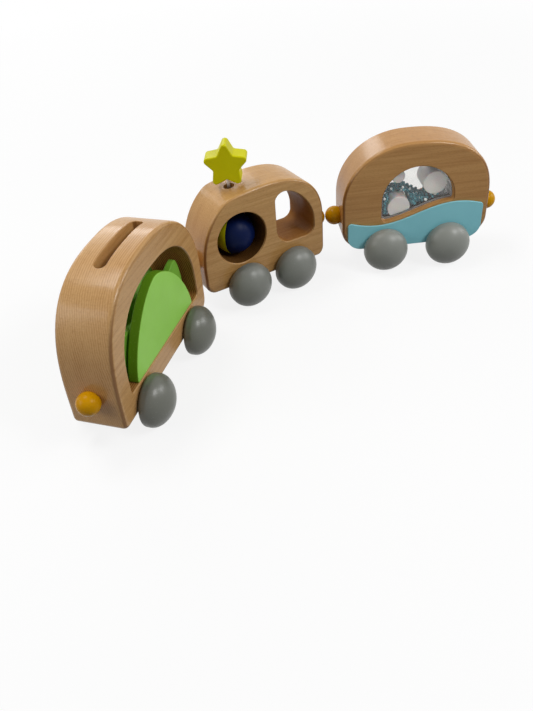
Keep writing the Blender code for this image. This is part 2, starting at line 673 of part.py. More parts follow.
def panel_outline():
    low = BODY_FLOOR + PANEL_FOOT_MARGIN
    size = PANEL_CORNER
    nose_foot = corner(-PANEL_NOSE, -1, low, PANEL_NOSE_FOOT)
    tail_foot = corner(PANEL_TAIL, 1, low, PANEL_TAIL_FOOT)
    crest = wave_line(size - PANEL_NOSE, PANEL_TAIL - size, 0.0, 2 * ARCH_STEPS)
    nose_top = quarter(crest[0][0], crest[0][1] - size, -size, size, ROUND_POWER, FOOT_STEPS)
    tail_top = quarter(crest[-1][0], crest[-1][1] - size, size, size, ROUND_POWER, FOOT_STEPS)
    return tidy(tail_foot[::-1] + tail_top + crest[::-1] + nose_top[::-1] + nose_foot)


def heap_line():
    nose = (-BEAD_WINDOW_NOSE - CUT_OVER, HEAP_NOSE_Z)
    peak = (HEAP_PEAK_X, HEAP_PEAK_Z)
    tail = (HEAP_TAIL_X, wave(HEAP_TAIL_X))
    points = []
    for start, stop in ((nose, peak), (peak, tail)):
        bumps = max(1, round(math.dist(start, stop) / (2 * BEAD_RADIUS)))
        for step in range(2 * bumps):
            share = step / (2 * bumps)
            lift = BEAD_BUMP if step % 2 else 0.0
            across = start[0] + (stop[0] - start[0]) * share
            points.append((across, start[1] + (stop[1] - start[1]) * share + lift))
    return points + [tail]


def bead_box(car):
    half = REAR_BODY_WIDTH / 2
    pane_outline = grow(bead_window(), -SEAT_GAP)
    pane_face = half - PANE_RECESS
    room = pane_face - PANE_WIDTH - SEAT_GAP
    for side, sign in (("left", -1), ("right", 1)):
        low, high = sorted((sign * pane_face, sign * (pane_face - PANE_WIDTH)))
        piece(f"rear_pane_{side}", slab(pane_outline, [(low, 0), (high, 0)]), CLEAR, car)
    across = [(-room, 0), (room, 0)]
    wide = [(-half, 0), (half, 0)]
    inside = grow(pane_outline, -CASE_WALL)
    case = piece("rear_bead_case", slab(pane_outline, across), CLEAR, car)
    cut(case, [cutter("rear_bead_room", slab(inside, wide), car)])
    beads = piece("rear_beads", slab(grow(inside, -SEAT_GAP), across), TEAL, car)
    line = heap_line()
    ceiling = BEAD_WINDOW_TOP + CUT_OVER
    tail_x = BEAD_WINDOW_TAIL + CUT_OVER
    floor = WAVE_MID - WAVE_RISE - CUT_OVER
    above = line + [(HEAP_TAIL_X, floor), (tail_x, floor), (tail_x, ceiling), (line[0][0], ceiling)]
    tools = [cutter("rear_bead_air", slab(above, wide), car)]
    for name, (x, z, radius) in PEGS.items():
        peg = turned(rod_profile(-room, room, radius), BALL_SIDES)
        piece(f"rear_peg_{name}", peg, PEG_WHITE, car, (x, 0, z), (math.pi / 2, 0, 0))
        hole = turned(rod_profile(-half, half, radius + SEAT_GAP), BALL_SIDES)
        tools.append(cutter(f"rear_peg_hole_{name}", hole, car, (x, 0, z), (math.pi / 2, 0, 0)))
    cut(beads, tools)


def rear_car(car):
    nose_end = (REAR_NOSE_SPRING, REAR_NOSE_POWER, REAR_NOSE_FOOT)
    tail_end = (REAR_TAIL_SPRING, REAR_TAIL_POWER, REAR_TAIL_FOOT)
    outline = arch(REAR_NOSE, REAR_TAIL, BODY_FLOOR, REAR_TOP, REAR_CROWN_X, nose_end, tail_end)
    half = REAR_BODY_WIDTH / 2
    body = piece("rear_body", slab(outline, rounded_rings(-half, half, EDGE_ROUND)), BEECH, car)
    window = cutter("rear_window", slab(bead_window(), flared_rings(REAR_BODY_WIDTH, RIM_ROUND)), car)
    cut(body, [window])
    grooves = running_gear("rear", car, REAR_WHEELBASE)
    cut(body, grooves)
    cut(body, couplings("rear", car, REAR_NOSE, REAR_TAIL))
    bead_box(car)
    for side, sign in (("left", -1), ("right", 1)):
        low, high = sorted((sign * (half + SEAT_GAP), sign * (half + SEAT_GAP + PANEL_WIDTH)))
        shape = slab(panel_outline(), rounded_rings(low, high, PANEL_EDGE_ROUND))
        panel = piece(f"rear_wave_{side}", shape, LIGHT_BLUE, car)
        cut(panel, grooves)


def centre_on_origin(root):
    bpy.context.view_layer.update()
    graph = bpy.context.evaluated_depsgraph_get()
    low = Vector((math.inf, math.inf, math.inf))
    high = -low
    for item in bpy.data.objects:
        if item.type != "MESH" or item.hide_render:
            continue
        shown = item.evaluated_get(graph)
        for vertex in shown.data.vertices:
            place = shown.matrix_world @ vertex.co
            low = Vector(map(min, low, place))
            high = Vector(map(max, high, place))
    root.location = (-(low.x + high.x) / 2, -(low.y + high.y) / 2, -low.z)


def main():
    clear_scene()
    train = empty("train")
    front_pivot = empty("front_pivot", train, (-MIDDLE_NOSE - BALL_STANDOFF, 0, BALL_HEIGHT), FRONT_CAR_YAW)
    rear_pivot = empty("rear_pivot", train, (MIDDLE_TAIL + BALL_STANDOFF, 0, BALL_HEIGHT), REAR_CAR_YAW)
    front_car(empty("front_car", front_pivot, (-BALL_PITCH - BALL_STANDOFF - FRONT_TAIL, 0, -BALL_HEIGHT)))
    middle_car(empty("middle_car", train))
    rear_car(empty("rear_car", rear_pivot, (BALL_PITCH + BALL_STANDOFF + REAR_NOSE, 0, -BALL_HEIGHT)))
    centre_on_origin(train)


main()
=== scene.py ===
# Wooden toy train: three beech cars with painted pieces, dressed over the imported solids
import math
import random

import bmesh
import bpy
from mathutils import Matrix, Vector


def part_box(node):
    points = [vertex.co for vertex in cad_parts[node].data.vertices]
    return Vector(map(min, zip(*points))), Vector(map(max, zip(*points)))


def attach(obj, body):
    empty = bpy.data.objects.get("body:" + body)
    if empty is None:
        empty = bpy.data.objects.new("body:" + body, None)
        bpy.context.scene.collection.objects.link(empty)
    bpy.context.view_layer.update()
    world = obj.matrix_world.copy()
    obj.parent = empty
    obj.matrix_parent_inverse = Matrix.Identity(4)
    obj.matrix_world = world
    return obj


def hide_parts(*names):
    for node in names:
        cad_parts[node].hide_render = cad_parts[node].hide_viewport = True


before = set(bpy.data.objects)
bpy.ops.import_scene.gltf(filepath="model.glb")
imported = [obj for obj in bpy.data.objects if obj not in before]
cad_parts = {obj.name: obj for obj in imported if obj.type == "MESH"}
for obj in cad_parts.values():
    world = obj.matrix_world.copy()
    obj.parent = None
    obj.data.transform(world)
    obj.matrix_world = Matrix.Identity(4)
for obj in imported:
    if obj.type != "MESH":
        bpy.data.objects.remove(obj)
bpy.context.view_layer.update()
mm = 0.001
print("frame loaded:", len(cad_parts), "solids")

plainNumbers = {"power", "nosePower", "tailPower", "steps", "turn", "points", "sides", "rings", "seed",
                "swell", "squash", "whites", "rows", "sizes"}


def sized(**look):  # lengths are written in millimetres
    def metres(value):
        return tuple(part * mm for part in value) if isinstance(value, tuple) else value * mm
    return {name: value if name in plainNumbers else metres(value) for name, value in look.items()}


def placed(place, turn, axis):
    return Matrix.Translation(place) @ Matrix.Rotation(turn, 4, axis)


# Each car has its own frame: X from its nose to its tail, -Y the shown side, origin on the floor
def carFrame(car):
    ends = [sum(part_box(f"{car}_{end}_axle"), Vector()) / 2 for end in ("front", "rear")]
    along = ends[1] - ends[0]
    middle = (ends[0] + ends[1]) / 2
    turn = math.atan2(along.y, along.x)
    return placed((middle.x, middle.y, 0.0), turn, "Z"), along.length / 2


sidePairs = (("left", -1), ("right", 1))
carPlace = {}
halfWheelbase = {}
for car in ("front", "middle", "rear"):
    carPlace[car], halfWheelbase[car] = carFrame(car)
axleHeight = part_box("middle_front_axle")[0].z / 2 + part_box("middle_front_axle")[1].z / 2


# Bench tools
def nothingSelected():
    if bpy.context.object is not None and bpy.context.object.mode != "OBJECT":
        bpy.ops.object.mode_set(mode="OBJECT")
    bpy.ops.object.select_all(action="DESELECT")


def onlySelected(piece):
    nothingSelected()
    piece.select_set(True)
    bpy.context.view_layer.objects.active = piece


def chooseEdges(piece, wanted):  # ends in edit mode with those edges selected
    onlySelected(piece)
    bpy.ops.object.mode_set(mode="EDIT")
    bpy.context.tool_settings.mesh_select_mode = (False, True, False)
    bpy.ops.mesh.select_all(action="DESELECT")
    shape = bmesh.from_edit_mesh(piece.data)
    for edge in shape.edges:
        if wanted(edge):
            edge.select_set(True)
    bmesh.update_edit_mesh(piece.data)


def drawOutline(name, points):  # a filled circle pulled into the outline, in the XZ plane
    nothingSelected()
    bpy.ops.mesh.primitive_circle_add(vertices=len(points), radius=mm, fill_type="NGON")
    piece = bpy.context.object
    piece.name = name
    for corner, (x, z) in zip(piece.data.vertices, points):
        corner.co = (x, 0.0, z)
    return piece


def sawOut(name, points, low, high):  # the outline cut from a board between two widths
    piece = drawOutline(name, points)
    bpy.ops.object.mode_set(mode="EDIT")
    bpy.ops.mesh.select_all(action="SELECT")
    bpy.ops.transform.translate(value=(0.0, low, 0.0))
    bpy.ops.mesh.extrude_region_move(TRANSFORM_OT_translate={"value": (0.0, high - low, 0.0)})
    bpy.ops.mesh.select_all(action="SELECT")
    bpy.ops.mesh.normals_make_consistent(inside=False)
    bpy.ops.object.mode_set(mode="OBJECT")
    return piece


def turnOnLathe(name, profile, steps):  # profile of (radius, height), from axis to axis, spun round Z
    nothingSelected()
    bpy.ops.mesh.primitive_circle_add(vertices=len(profile), radius=mm, fill_type="NOTHING")
    piece = bpy.context.object
    piece.name = name
    for corner, (radius, height) in zip(piece.data.vertices, profile):
        corner.co = (radius, 0.0, height)
    chooseEdges(piece, lambda edge: max(abs(corner.co.x) for corner in edge.verts) == 0.0)
    bpy.ops.mesh.delete(type="EDGE")
    bpy.ops.mesh.select_all(action="SELECT")
    bpy.ops.mesh.spin(steps=steps, angle=2 * math.pi, center=(0, 0, 0), axis=(0, 0, 1))
    bpy.ops.mesh.select_all(action="SELECT")
    bpy.ops.mesh.remove_doubles(threshold=0.001 * mm)
    bpy.ops.mesh.normals_make_consistent(inside=False)
    bpy.ops.object.mode_set(mode="OBJECT")
    return piece


def easeEdges(piece, wanted, size, steps):
    chooseEdges(piece, wanted)
    bpy.ops.mesh.bevel(offset=size, segments=steps, affect="EDGES", clamp_overlap=False, loop_slide=False)
    bpy.ops.object.mode_set(mode="OBJECT")


sharpFold = 1.0  # radians between two faces


def sharpAt(half):  # the sharp edges that lie in the two side faces
    def wanted(edge):
        flat = all(abs(abs(corner.co.y) - half) < 0.01 * mm for corner in edge.verts)
        return flat and edge.calc_face_angle(0.0) > sharpFold
    return wanted


def easedBoard(name, outline, half, edge, steps):  # sawn out, with both rims eased
    piece = sawOut(name, outline, -half, half)
    easeEdges(piece, sharpAt(half), edge, steps)
    return piece


def carve(piece, tool, how="DIFFERENCE"):
    onlySelected(piece)
    step = piece.modifiers.new("carve", "BOOLEAN")
    step.operation = how
    step.solver = "EXACT"
    step.object = tool
    bpy.ops.object.modifier_apply(modifier=step.name)
    bpy.data.objects.remove(tool, do_unlink=True)


def drill(piece, radius, start, stop):  # a round hole between two points
    along = Vector(stop) - Vector(start)
    nothingSelected()
    bpy.ops.mesh.primitive_cylinder_add(vertices=48, radius=radius, depth=along.length)
    tool = bpy.context.object
    tool.matrix_world = (
        Matrix.Translation((Vector(start) + Vector(stop)) / 2)
        @ along.to_track_quat("Z", "Y").to_matrix().to_4x4()
    )
    carve(piece, tool)


def sandSmooth(piece, sharpest=40.0):
    onlySelected(piece)
    bpy.ops.object.shade_smooth_by_angle(angle=math.radians(sharpest))
    step = piece.modifiers.new("even", "WEIGHTED_NORMAL")
    step.keep_sharp = True
    bpy.ops.object.modifier_apply(modifier=step.name)


def ownCopy(piece, name):
    copy = piece.copy()
    copy.data = piece.data.copy()
    copy.name = name
    bpy.context.collection.objects.link(copy)
    return copy


def settle(piece, car, finish, slotName, node, body=None, sand=True):  # smoothed and placed, then it rides
    if sand:
        sandSmooth(piece)
    onlySelected(piece)
    piece.matrix_world = carPlace[car] @ piece.matrix_world
    bpy.ops.object.transform_apply(location=True, rotation=True, scale=True)
    piece.data.materials.clear()
    piece.data.materials.append(finish)
    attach(piece, body or f"{car}_car")
    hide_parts(node)


# Outlines, as (x, z) points
def quarterArch(x, z, reach, rise, power, steps):  # from the side up to the crown
    points = []
    for step in range(steps + 1):
        lean = math.pi / 2 * step / steps
        across, up = abs(math.cos(lean)), abs(math.sin(lean))
        size = (across ** power + up ** power) ** (-1 / power)
        points.append((x + reach * size * across, z + rise * size * up))
    return points


def easedFoot(across, up, size, steps):  # quarter round from a flat foot into a wall
    leans = [math.pi / 2 * step / steps for step in range(steps + 1)]
    return [(across + size * math.sin(lean), up + size * (1 - math.cos(lean))) for lean in leans]


def withoutDoubles(points):
    return [point for index, point in enumerate(points) if math.dist(point, points[index - 1]) > 0.02 * mm]


def archOutline(look, noseSide=None, steps=30):
    nose, tail, floor, top, crown = [look[name] for name in ("nose", "tail", "floor", "top", "crown")]
    footX, footZ = look["tailFoot"]
    points = quarterArch(tail - footX, floor + footZ, footX, -footZ, 2.0, steps // 2)[::-1]
    spring = look["tailSpring"]
    points += quarterArch(crown, spring, tail - crown, top - spring, look["tailPower"], steps)
    if noseSide is None:
        spring = look["noseSpring"]
        noseSide = quarterArch(crown, spring, -nose - crown, top - spring, look["nosePower"], steps)[::-1]
    footX, footZ = look["noseFoot"]
    points += noseSide + quarterArch(footX - nose, floor + footZ, -footX, -footZ, 2.0, steps // 2)
    return withoutDoubles(points)


def drawnIn(points, distance):  # the outline moved in by a distance
    moved = []
    for index, point in enumerate(points):
        before = (Vector(point) - Vector(points[index - 1])).normalized()
        after = (Vector(points[(index + 1) % len(points)]) - Vector(point)).normalized()
        inward = Vector((-before.y - after.y, before.x + after.x)).normalized()
        slant = max(inward.dot(Vector((-before.y, before.x))), 0.5)
        moved.append(tuple(Vector(point) + inward * distance / slant))
    return moved


def insideOutline(point, outline):
    inside = False
    for index, (x, z) in enumerate(outline):
        pastX, pastZ = outline[index - 1]
        if (z > point[1]) != (pastZ > point[1]):
            if point[0] < (pastX - x) * (point[1] - z) / (pastZ - z) + x:
                inside = not inside
    return inside


# Finishes
def startFinish(name):
    finish = bpy.data.materials.new(name)
    finish.use_nodes = True
    return finish, finish.node_tree, finish.node_tree.nodes["Principled BSDF"]


def plug(tree, node, inputs):  # sockets are linked, values are set
    for name, value in inputs.items():
        if isinstance(value, bpy.types.NodeSocket):
            tree.links.new(value, node.inputs[name])
        else:
            node.inputs[name].default_value = value
    return node


def addNode(tree, kind, inputs=None, **settings):
    node = tree.nodes.new("ShaderNode" + kind)
    for name, value in settings.items():
        setattr(node, name, value)
    return plug(tree, node, inputs or {})


def surfacePoint(tree):
    return addNode(tree, "TexCoord").outputs["Object"]


def mapped(tree, point, location=(0, 0, 0), rotation=(0, 0, 0), scale=(1, 1, 1)):
    inputs = {"Vector": point, "Location": location, "Rotation": rotation, "Scale": scale}
    return addNode(tree, "Mapping", inputs).outputs["Vector"]


def cloud(tree, point, scale, detail=2.0, rough=0.5):
    inputs = {"Vector": point, "Scale": scale, "Detail": detail, "Roughness": rough}
    return addNode(tree, "TexNoise", inputs).outputs["Fac"]


def stretched(tree, point, scale, detail=2.0, rough=0.5):  # noise with its own scale along each axis
    return cloud(tree, mapped(tree, point, scale=scale), 1.0, detail, rough)


def between(tree, value, low, high, newLow=0.0, newHigh=1.0):
    inputs = {"Value": value, "From Min": low, "From Max": high, "To Min": newLow, "To Max": newHigh}
    return addNode(tree, "MapRange", inputs).outputs["Result"]


def mathOf(tree, operation, first, second):
    return addNode(tree, "Math", {0: first, 1: second}, operation=operation).outputs["Value"]


def times(tree, first, second):
    return mathOf(tree, "MULTIPLY", first, second)


def plus(tree, first, second):
    return mathOf(tree, "ADD", first, second)


def blended(tree, share, first, second, how="MIX"):
    colours = [(*value, 1.0) if isinstance(value, tuple) else value for value in (first, second)]
    inputs = {0: share, 6: colours[0], 7: colours[1]}
    return addNode(tree, "Mix", inputs, data_type="RGBA", blend_type=how).outputs[2]


def facing(tree):
    return addNode(tree, "TexCoord").outputs["Normal"]


def facingUp(tree):
    return addNode(tree, "SeparateXYZ", {0: facing(tree)}).outputs["Z"]


def sideShare(tree, car):  # 1 on faces that look sideways from a car, 0 on its ends, roof and floor
    across = carPlace[car].to_3x3() @ Vector((0, 1, 0))
    inputs = {0: facing(tree), 1: tuple(across)}
    turned = addNode(tree, "VectorMath", inputs, operation="DOT_PRODUCT")
    return mathOf(tree, "ABSOLUTE", turned.outputs["Value"], 0.0)


def shadedCornerShare(tree, side):  # 1 on the upright roundings, where painted shade darkens the wood
    lean = mathOf(tree, "ABSOLUTE", facingUp(tree), 0.0)
    turned = times(tree, between(tree, side, 0.3, 0.6), between(tree, side, 0.98, 0.88))
    return times(tree, turned, between(tree, lean, 0.55, 0.25))


def bumped(tree, height, strength, depth):
    inputs = {"Height": height, "Strength": strength, "Distance": depth}
    return addNode(tree, "Bump", inputs).outputs["Normal"]


beechLook = dict(
    pale=(0.60, 0.35, 0.128),
    warm=(0.40, 0.188, 0.05),
    deep=(0.19, 0.075, 0.015),
    tone={"front": (1.05, 1.08, 1.20), "middle": (1.0, 1.0, 1.0), "rear": (0.94, 0.87, 0.78)},
    # inside: painted shade on the walls of the openings, darkest in the chamber
    inside={"opening": (0.92, 0.77, 0.61), "chamber": (0.30, 0.25, 0.20)},
    ringSpacing=1.5 * mm,
    ringStretch=0.14,
    ringTilt=math.radians(11),
    ringWander=6.5,
    ringDepth={None: (1.4, 0.4), "opening": (2.4, 0.4), "chamber": (2.4, 0.4)},  # ends, sides
    years=(5, 330, 9),  # noise per metre along, across and up
    fibre=(22, 900, 900),
    rays=(560, 130, 2300),  # flecks on the sides, fine lines across the ends
    streaks=(14, 60, 300),
    patches=16,
    corners=0.8,  # how far painted shade darkens the upright corners
    shine=(0.36, 0.52),
    coat={None: 0.45, "opening": 0.06, "chamber": 0.06},
    gloss={None: 0.08, "opening": 0.03, "chamber": 0.03},
)


def beechFinish(car, inside=None):  # lacquered beech, sawn so that the growth rings lie near the side faces
    look = beechLook
    finish, tree, shader = startFinish(f"beech {car} {inside}" if inside else f"beech {car}")
    back = carPlace[car].inverted()
    point = mapped(tree, surfacePoint(tree), back.to_translation(), back.to_euler())
    tilted = mapped(tree, point, rotation=(look["ringTilt"], 0, 0), scale=(look["ringStretch"], 1, 1))
    ringScale = 2 * math.pi / (20 * look["ringSpacing"])
    waves = {"Vector": tilted, "Scale": ringScale, "Distortion": look["ringWander"],
             "Detail": 3.0, "Detail Scale": 0.35, "Detail Roughness": 0.6}
    settings = {"wave_type": "BANDS", "bands_direction": "Y", "wave_profile": "SAW"}
    rings = addNode(tree, "TexWave", waves, **settings).outputs["Fac"]
    side = sideShare(tree, car)
    years = stretched(tree, point, look["years"], 4.0, 0.6)
    fibre = stretched(tree, point, look["fibre"], 3.0, 0.6)
    rays = stretched(tree, point, look["rays"], 1.0)
    streaks = stretched(tree, point, look["streaks"])
    patches = cloud(tree, mapped(tree, point, scale=(0.35, 1, 1)), look["patches"], 3.0)
    darker = times(tree, between(tree, rings, 0.2, 1.0), between(tree, years, 0.3, 0.7, 0.3, 0.95))
    onEnds, onSides = look["ringDepth"][inside]
    darker = times(tree, darker, between(tree, side, 0.4, 0.95, onEnds, onSides))
    darker = times(tree, darker, between(tree, patches, 0.36, 0.6, 0.45, 1.15))
    streaks = between(tree, streaks, 0.35, 0.7, -0.1, 0.32)
    darker = plus(tree, darker, times(tree, streaks, between(tree, side, 0.5, 0.95)))
    darker = plus(tree, darker, between(tree, fibre, 0.3, 0.75, 0.0, 0.42))
    # painted shade: inside the openings the grain blends towards the deep colour
    colour = blended(tree, darker, look["pale"], look["deep"] if inside else look["warm"])
    colour = blended(tree, between(tree, patches, 0.35, 0.7, 0.0, 0.35), colour, look["warm"])
    flecks = times(tree, between(tree, rays, 0.52, 0.76), between(tree, side, 0.4, 0.95, 0.12, 0.26))
    colour = blended(tree, flecks, colour, look["deep"])
    # painted shade: the upright corner roundings turn towards the deep colour
    colour = blended(tree, times(tree, shadedCornerShare(tree, side), look["corners"]), colour, look["deep"])
    colour = blended(tree, 1.0, colour, look["tone"][car], "MULTIPLY")
    # painted shade: walls inside an opening are darkened by its inside tone
    if inside:
        colour = blended(tree, 1.0, colour, look["inside"][inside], "MULTIPLY")
    height = plus(tree, times(tree, rings, 0.35), fibre)
    height = plus(tree, height, times(tree, rays, 0.6))
    plug(tree, shader, {
        "Base Color": colour,
        "Roughness": between(tree, fibre, 0.3, 0.7, *look["shine"]),
        "Specular IOR Level": look["gloss"][inside],
        "Normal": bumped(tree, height, 0.2, 0.12 * mm),
        "Coat Weight": look["coat"][inside],
        "Coat Roughness": 0.18,
        "Coat Normal": bumped(tree, height, 0.2, 0.1 * mm),
    })
    return finish


def paintFinish(name, look):  # satin paint over wood, faintly mottled, with the grain just telegraphing
    finish, tree, shader = startFinish(name)
    point = surfacePoint(tree)
    mottle = between(tree, cloud(tree, point, 45, 3.0), 0.3, 0.7)
    colour = blended(tree, mottle, look["shade"], look["colour"])
    # painted shade: faces that don't look sideways from the car, the board's edges, turn towards the rim
    # colour
    if "rim" in look:
        colour = blended(tree, between(tree, sideShare(tree, look["car"]), 0.5, 0.85), look["rim"], colour)
    specks = between(tree, cloud(tree, point, 900, 1.0), 0.66, 0.74, 0.0, 0.25)
    colour = blended(tree, specks, colour, look["worn"])
    if "scuff" in look:
        scuffs = cloud(tree, mapped(tree, point, scale=(1, 1, 2.5)), 70, 5.0, 0.75)
        colour = blended(tree, between(tree, scuffs, 0.68, 0.74, 0.0, 0.45), colour, look["scuff"])
    rubs = cloud(tree, point, 120, 4.0, 0.65)
    grain = stretched(tree, point, (60, 700, 700), 3.0)
    height = plus(tree, grain, times(tree, cloud(tree, point, 650, 2.0), 0.5))
    plug(tree, shader, {
        "Base Color": colour,
        "Roughness": between(tree, rubs, 0.3, 0.7, *look["shine"]),
        "Specular IOR Level": look["gloss"],
        "Subsurface Weight": look.get("milky", 0.0),
        "Subsurface Scale": 4 * mm,
        "Normal": bumped(tree, height, 0.12, 0.1 * mm),
    })
    return finish


paintLooks = {
    # one grey paint in three tones: the front car's darker grey is painted shade, the rear car's lighter
    # grey painted light
    "wheel grey front": dict(
        colour=(0.168, 0.174, 0.145), shade=(0.146, 0.15, 0.125), worn=(0.3, 0.3, 0.27),
        scuff=(0.08, 0.065, 0.05), shine=(0.27, 0.38), gloss=0.5),
    "wheel grey middle": dict(
        colour=(0.235, 0.245, 0.22), shade=(0.205, 0.213, 0.19), worn=(0.34, 0.34, 0.32),
        scuff=(0.10, 0.08, 0.06), shine=(0.3, 0.42), gloss=0.42),
    "wheel grey rear": dict(
        colour=(0.275, 0.287, 0.26), shade=(0.24, 0.25, 0.226), worn=(0.36, 0.36, 0.34),
        scuff=(0.10, 0.08, 0.06), shine=(0.3, 0.42), gloss=0.42),
    "ball yellow": dict(
        colour=(0.69, 0.345, 0.001), shade=(0.58, 0.265, 0.001), worn=(0.74, 0.42, 0.01),
        shine=(0.2, 0.3), gloss=0.08),
    "leaf green": dict(
        colour=(0.355, 0.73, 0.12), shade=(0.325, 0.68, 0.105), worn=(0.42, 0.76, 0.18),
        # rim: painted shade on the hill's edge faces
        rim=(0.15, 0.36, 0.012), car="front", shine=(0.42, 0.54), gloss=0.25),
    "ridge green": dict(
        colour=(0.20, 0.46, 0.05), shade=(0.17, 0.40, 0.035), worn=(0.28, 0.5, 0.1),
        shine=(0.42, 0.54), gloss=0.2),
    "lime": dict(
        colour=(0.66, 0.635, 0.003), shade=(0.59, 0.56, 0.002), worn=(0.66, 0.64, 0.05),
        shine=(0.34, 0.46), gloss=0.08),
    "navy": dict(
        colour=(0.003, 0.011, 0.07), shade=(0.002, 0.008, 0.05), worn=(0.015, 0.025, 0.09),
        shine=(0.34, 0.44), gloss=0.09),
    "light blue": dict(
        colour=(0.31, 0.73, 0.82), shade=(0.285, 0.69, 0.78), worn=(0.42, 0.77, 0.84),
        shine=(0.42, 0.54), gloss=0.2),
    # white beads as painted highlights: glints and the white showing between beads
    "glint bead white": dict(
        colour=(0.80, 0.84, 0.85), shade=(0.72, 0.78, 0.79), worn=(0.84, 0.86, 0.86),
        shine=(0.12, 0.2), gloss=0.4),
    "peg white": dict(
        colour=(0.60, 0.585, 0.575), shade=(0.53, 0.515, 0.505), worn=(0.72, 0.71, 0.7),
        shine=(0.25, 0.36), gloss=0.2, milky=0.7),
}


def steelFinish(name, look):  # drawn rod: fine rings round it and a few dull patches
    finish, tree, shader = startFinish(name)
    point = surfacePoint(tree)
    streaks = stretched(tree, point, look["streaks"], 3.0)
    plug(tree, shader, {
        "Base Color": blended(tree, between(tree, streaks, 0.3, 0.7), look["dark"], look["bright"]),
        "Metallic": 1.0,
        "Roughness": between(tree, cloud(tree, point, 90, 3.0), 0.35, 0.7, 0.16, 0.36),
        "Normal": bumped(tree, streaks, 0.1, 0.05 * mm),
    })
    return finish


metalLooks = {
    "steel": dict(bright=(0.68, 0.68, 0.69), dark=(0.5, 0.5, 0.51), streaks=(300, 300, 4000)),
    "magnet": dict(bright=(0.45, 0.45, 0.47), dark=(0.3, 0.3, 0.32), streaks=(900, 900, 900)),
}


acrylicIndex = 1.47
clearLook = dict(tint=(0.91, 0.905, 0.89), shine=(0.02, 0.09))


def clearFinish(name):  # clear acrylic with a haze of fine rubbing marks
    finish, tree, shader = startFinish(name)
    rubs = cloud(tree, surfacePoint(tree), 260, 5.0, 0.7)
    tint = (*clearLook["tint"], 1.0)
    plug(tree, shader, {
        "Base Color": tint,
        "Roughness": between(tree, rubs, 0.45, 0.75, *clearLook["shine"]),
        "Transmission Weight": 1.0,
        "IOR": acrylicIndex,
    })
    passing = addNode(tree, "BsdfTransparent", {"Color": tint})
    shadow = addNode(tree, "LightPath").outputs["Is Shadow Ray"]
    layers = {0: shadow, 1: shader.outputs["BSDF"], 2: passing.outputs["BSDF"]}
    mix = addNode(tree, "MixShader", layers)
    plug(tree, tree.nodes["Material Output"], {"Surface": mix.outputs["Shader"]})
    return finish


# floor: the painted shade colour of the case's upward faces
caseLook = dict(tint=(0.44, 0.44, 0.45), streaks=(0.36, 0.36, 0.37), floor=(0.05, 0.06, 0.06),
                shine=(0.05, 0.14))


def caseFinish(name):  # moulded ring of the bead case, hazier than the panes, with painted shade on its upward faces under the beads
    finish, tree, shader = startFinish(name)
    flow = stretched(tree, surfacePoint(tree), (60, 60, 220), 3.0)
    colour = blended(tree, between(tree, flow, 0.3, 0.7), caseLook["tint"], caseLook["streaks"])
    plug(tree, shader, {
        # painted shade: upward faces turn towards the floor colour
        "Base Color": blended(tree, between(tree, facingUp(tree), 0.4, 0.8), colour, caseLook["floor"]),
        "Roughness": between(tree, flow, 0.3, 0.7, *caseLook["shine"]),
        "Transmission Weight": 0.5,
        "IOR": acrylicIndex,
    })
    return finish


beadLook = dict(deep=(0.008, 0.085, 0.115), pale=(0.055, 0.26, 0.31), milk=(0.15, 0.40, 0.45))


def beadFinish(name):  # each bead has its own tone
    finish, tree, shader = startFinish(name)
    tone = addNode(tree, "NewGeometry").outputs["Random Per Island"]
    swirl = cloud(tree, surfacePoint(tree), 500, 2.0)
    colour = blended(tree, tone, beadLook["deep"], beadLook["pale"])
    plug(tree, shader, {
        "Base Color": blended(tree, between(tree, swirl, 0.55, 0.75, 0.0, 0.35), colour, beadLook["milk"]),
        "Roughness": between(tree, swirl, 0.3, 0.7, 0.06, 0.16),
        "Specular IOR Level": 0.15,
    })
    return finish


beech = {car: beechFinish(car) for car in carPlace}
openingShadedBeech = {car: beechFinish(car, "opening") for car in ("front", "middle")}
chamberShadedBeech = beechFinish("middle", "chamber")
paint = {name: paintFinish(name, look) for name, look in paintLooks.items()}
metal = {name: steelFinish(name, look) for name, look in metalLooks.items()}
clear = clearFinish("clear acrylic")
caseClear = caseFinish("hazy acrylic")
beadGlass = beadFinish("bead glass")
print("finishes mixed:", len(bpy.data.materials))


# Wheels, rods and coupling balls
wheelShape = sized(radius=18.0, backRound=2.5, rim=2.5, dome=12.3, power=1.8, bore=2.3, boreDepth=9.3,
                   seat=19.75, steps=72)


def turnWheel():
    look = wheelShape
    rim = look["backRound"] + look["rim"]
    profile = [(0.0, look["boreDepth"]), (look["bore"], look["boreDepth"]), (look["bore"], 0.0)]
    profile += easedFoot(look["radius"] - look["backRound"], 0.0, look["backRound"], 8)
    dome = quarterArch(0.0, rim, look["radius"], look["dome"], look["power"], 28)
    profile += dome[:-1] + [(0.0, rim + look["dome"])]
    return turnOnLathe("wheel", profile, look["steps"])


def fitWheels():
    pattern = turnWheel()
    for car in carPlace:
        for end, along in (("front", -halfWheelbase[car]), ("rear", halfWheelbase[car])):
            for side, sign in sidePairs:
                wheel = ownCopy(pattern, f"{car}Wheel_{end}_{side}")
                seat = (along, sign * wheelShape["seat"], axleHeight)
                wheel.matrix_world = placed(seat, -sign * math.pi / 2, "X")
                node = f"{car}_{end}_wheel_{side}"
                settle(wheel, car, paint[f"wheel grey {car}"], "wheel_grey", node, f"{car}_{end}_wheelset")
    bpy.data.objects.remove(pattern, do_unlink=True)


fitWheels()
print("wheels fitted")

ballShape = sized(radius=7.7, height=41.9, standoff=4.0, tenon=4.5, tenonLength=11.0, bore=2.8, cover=2.0,
                  gap=0.08, steps=48)


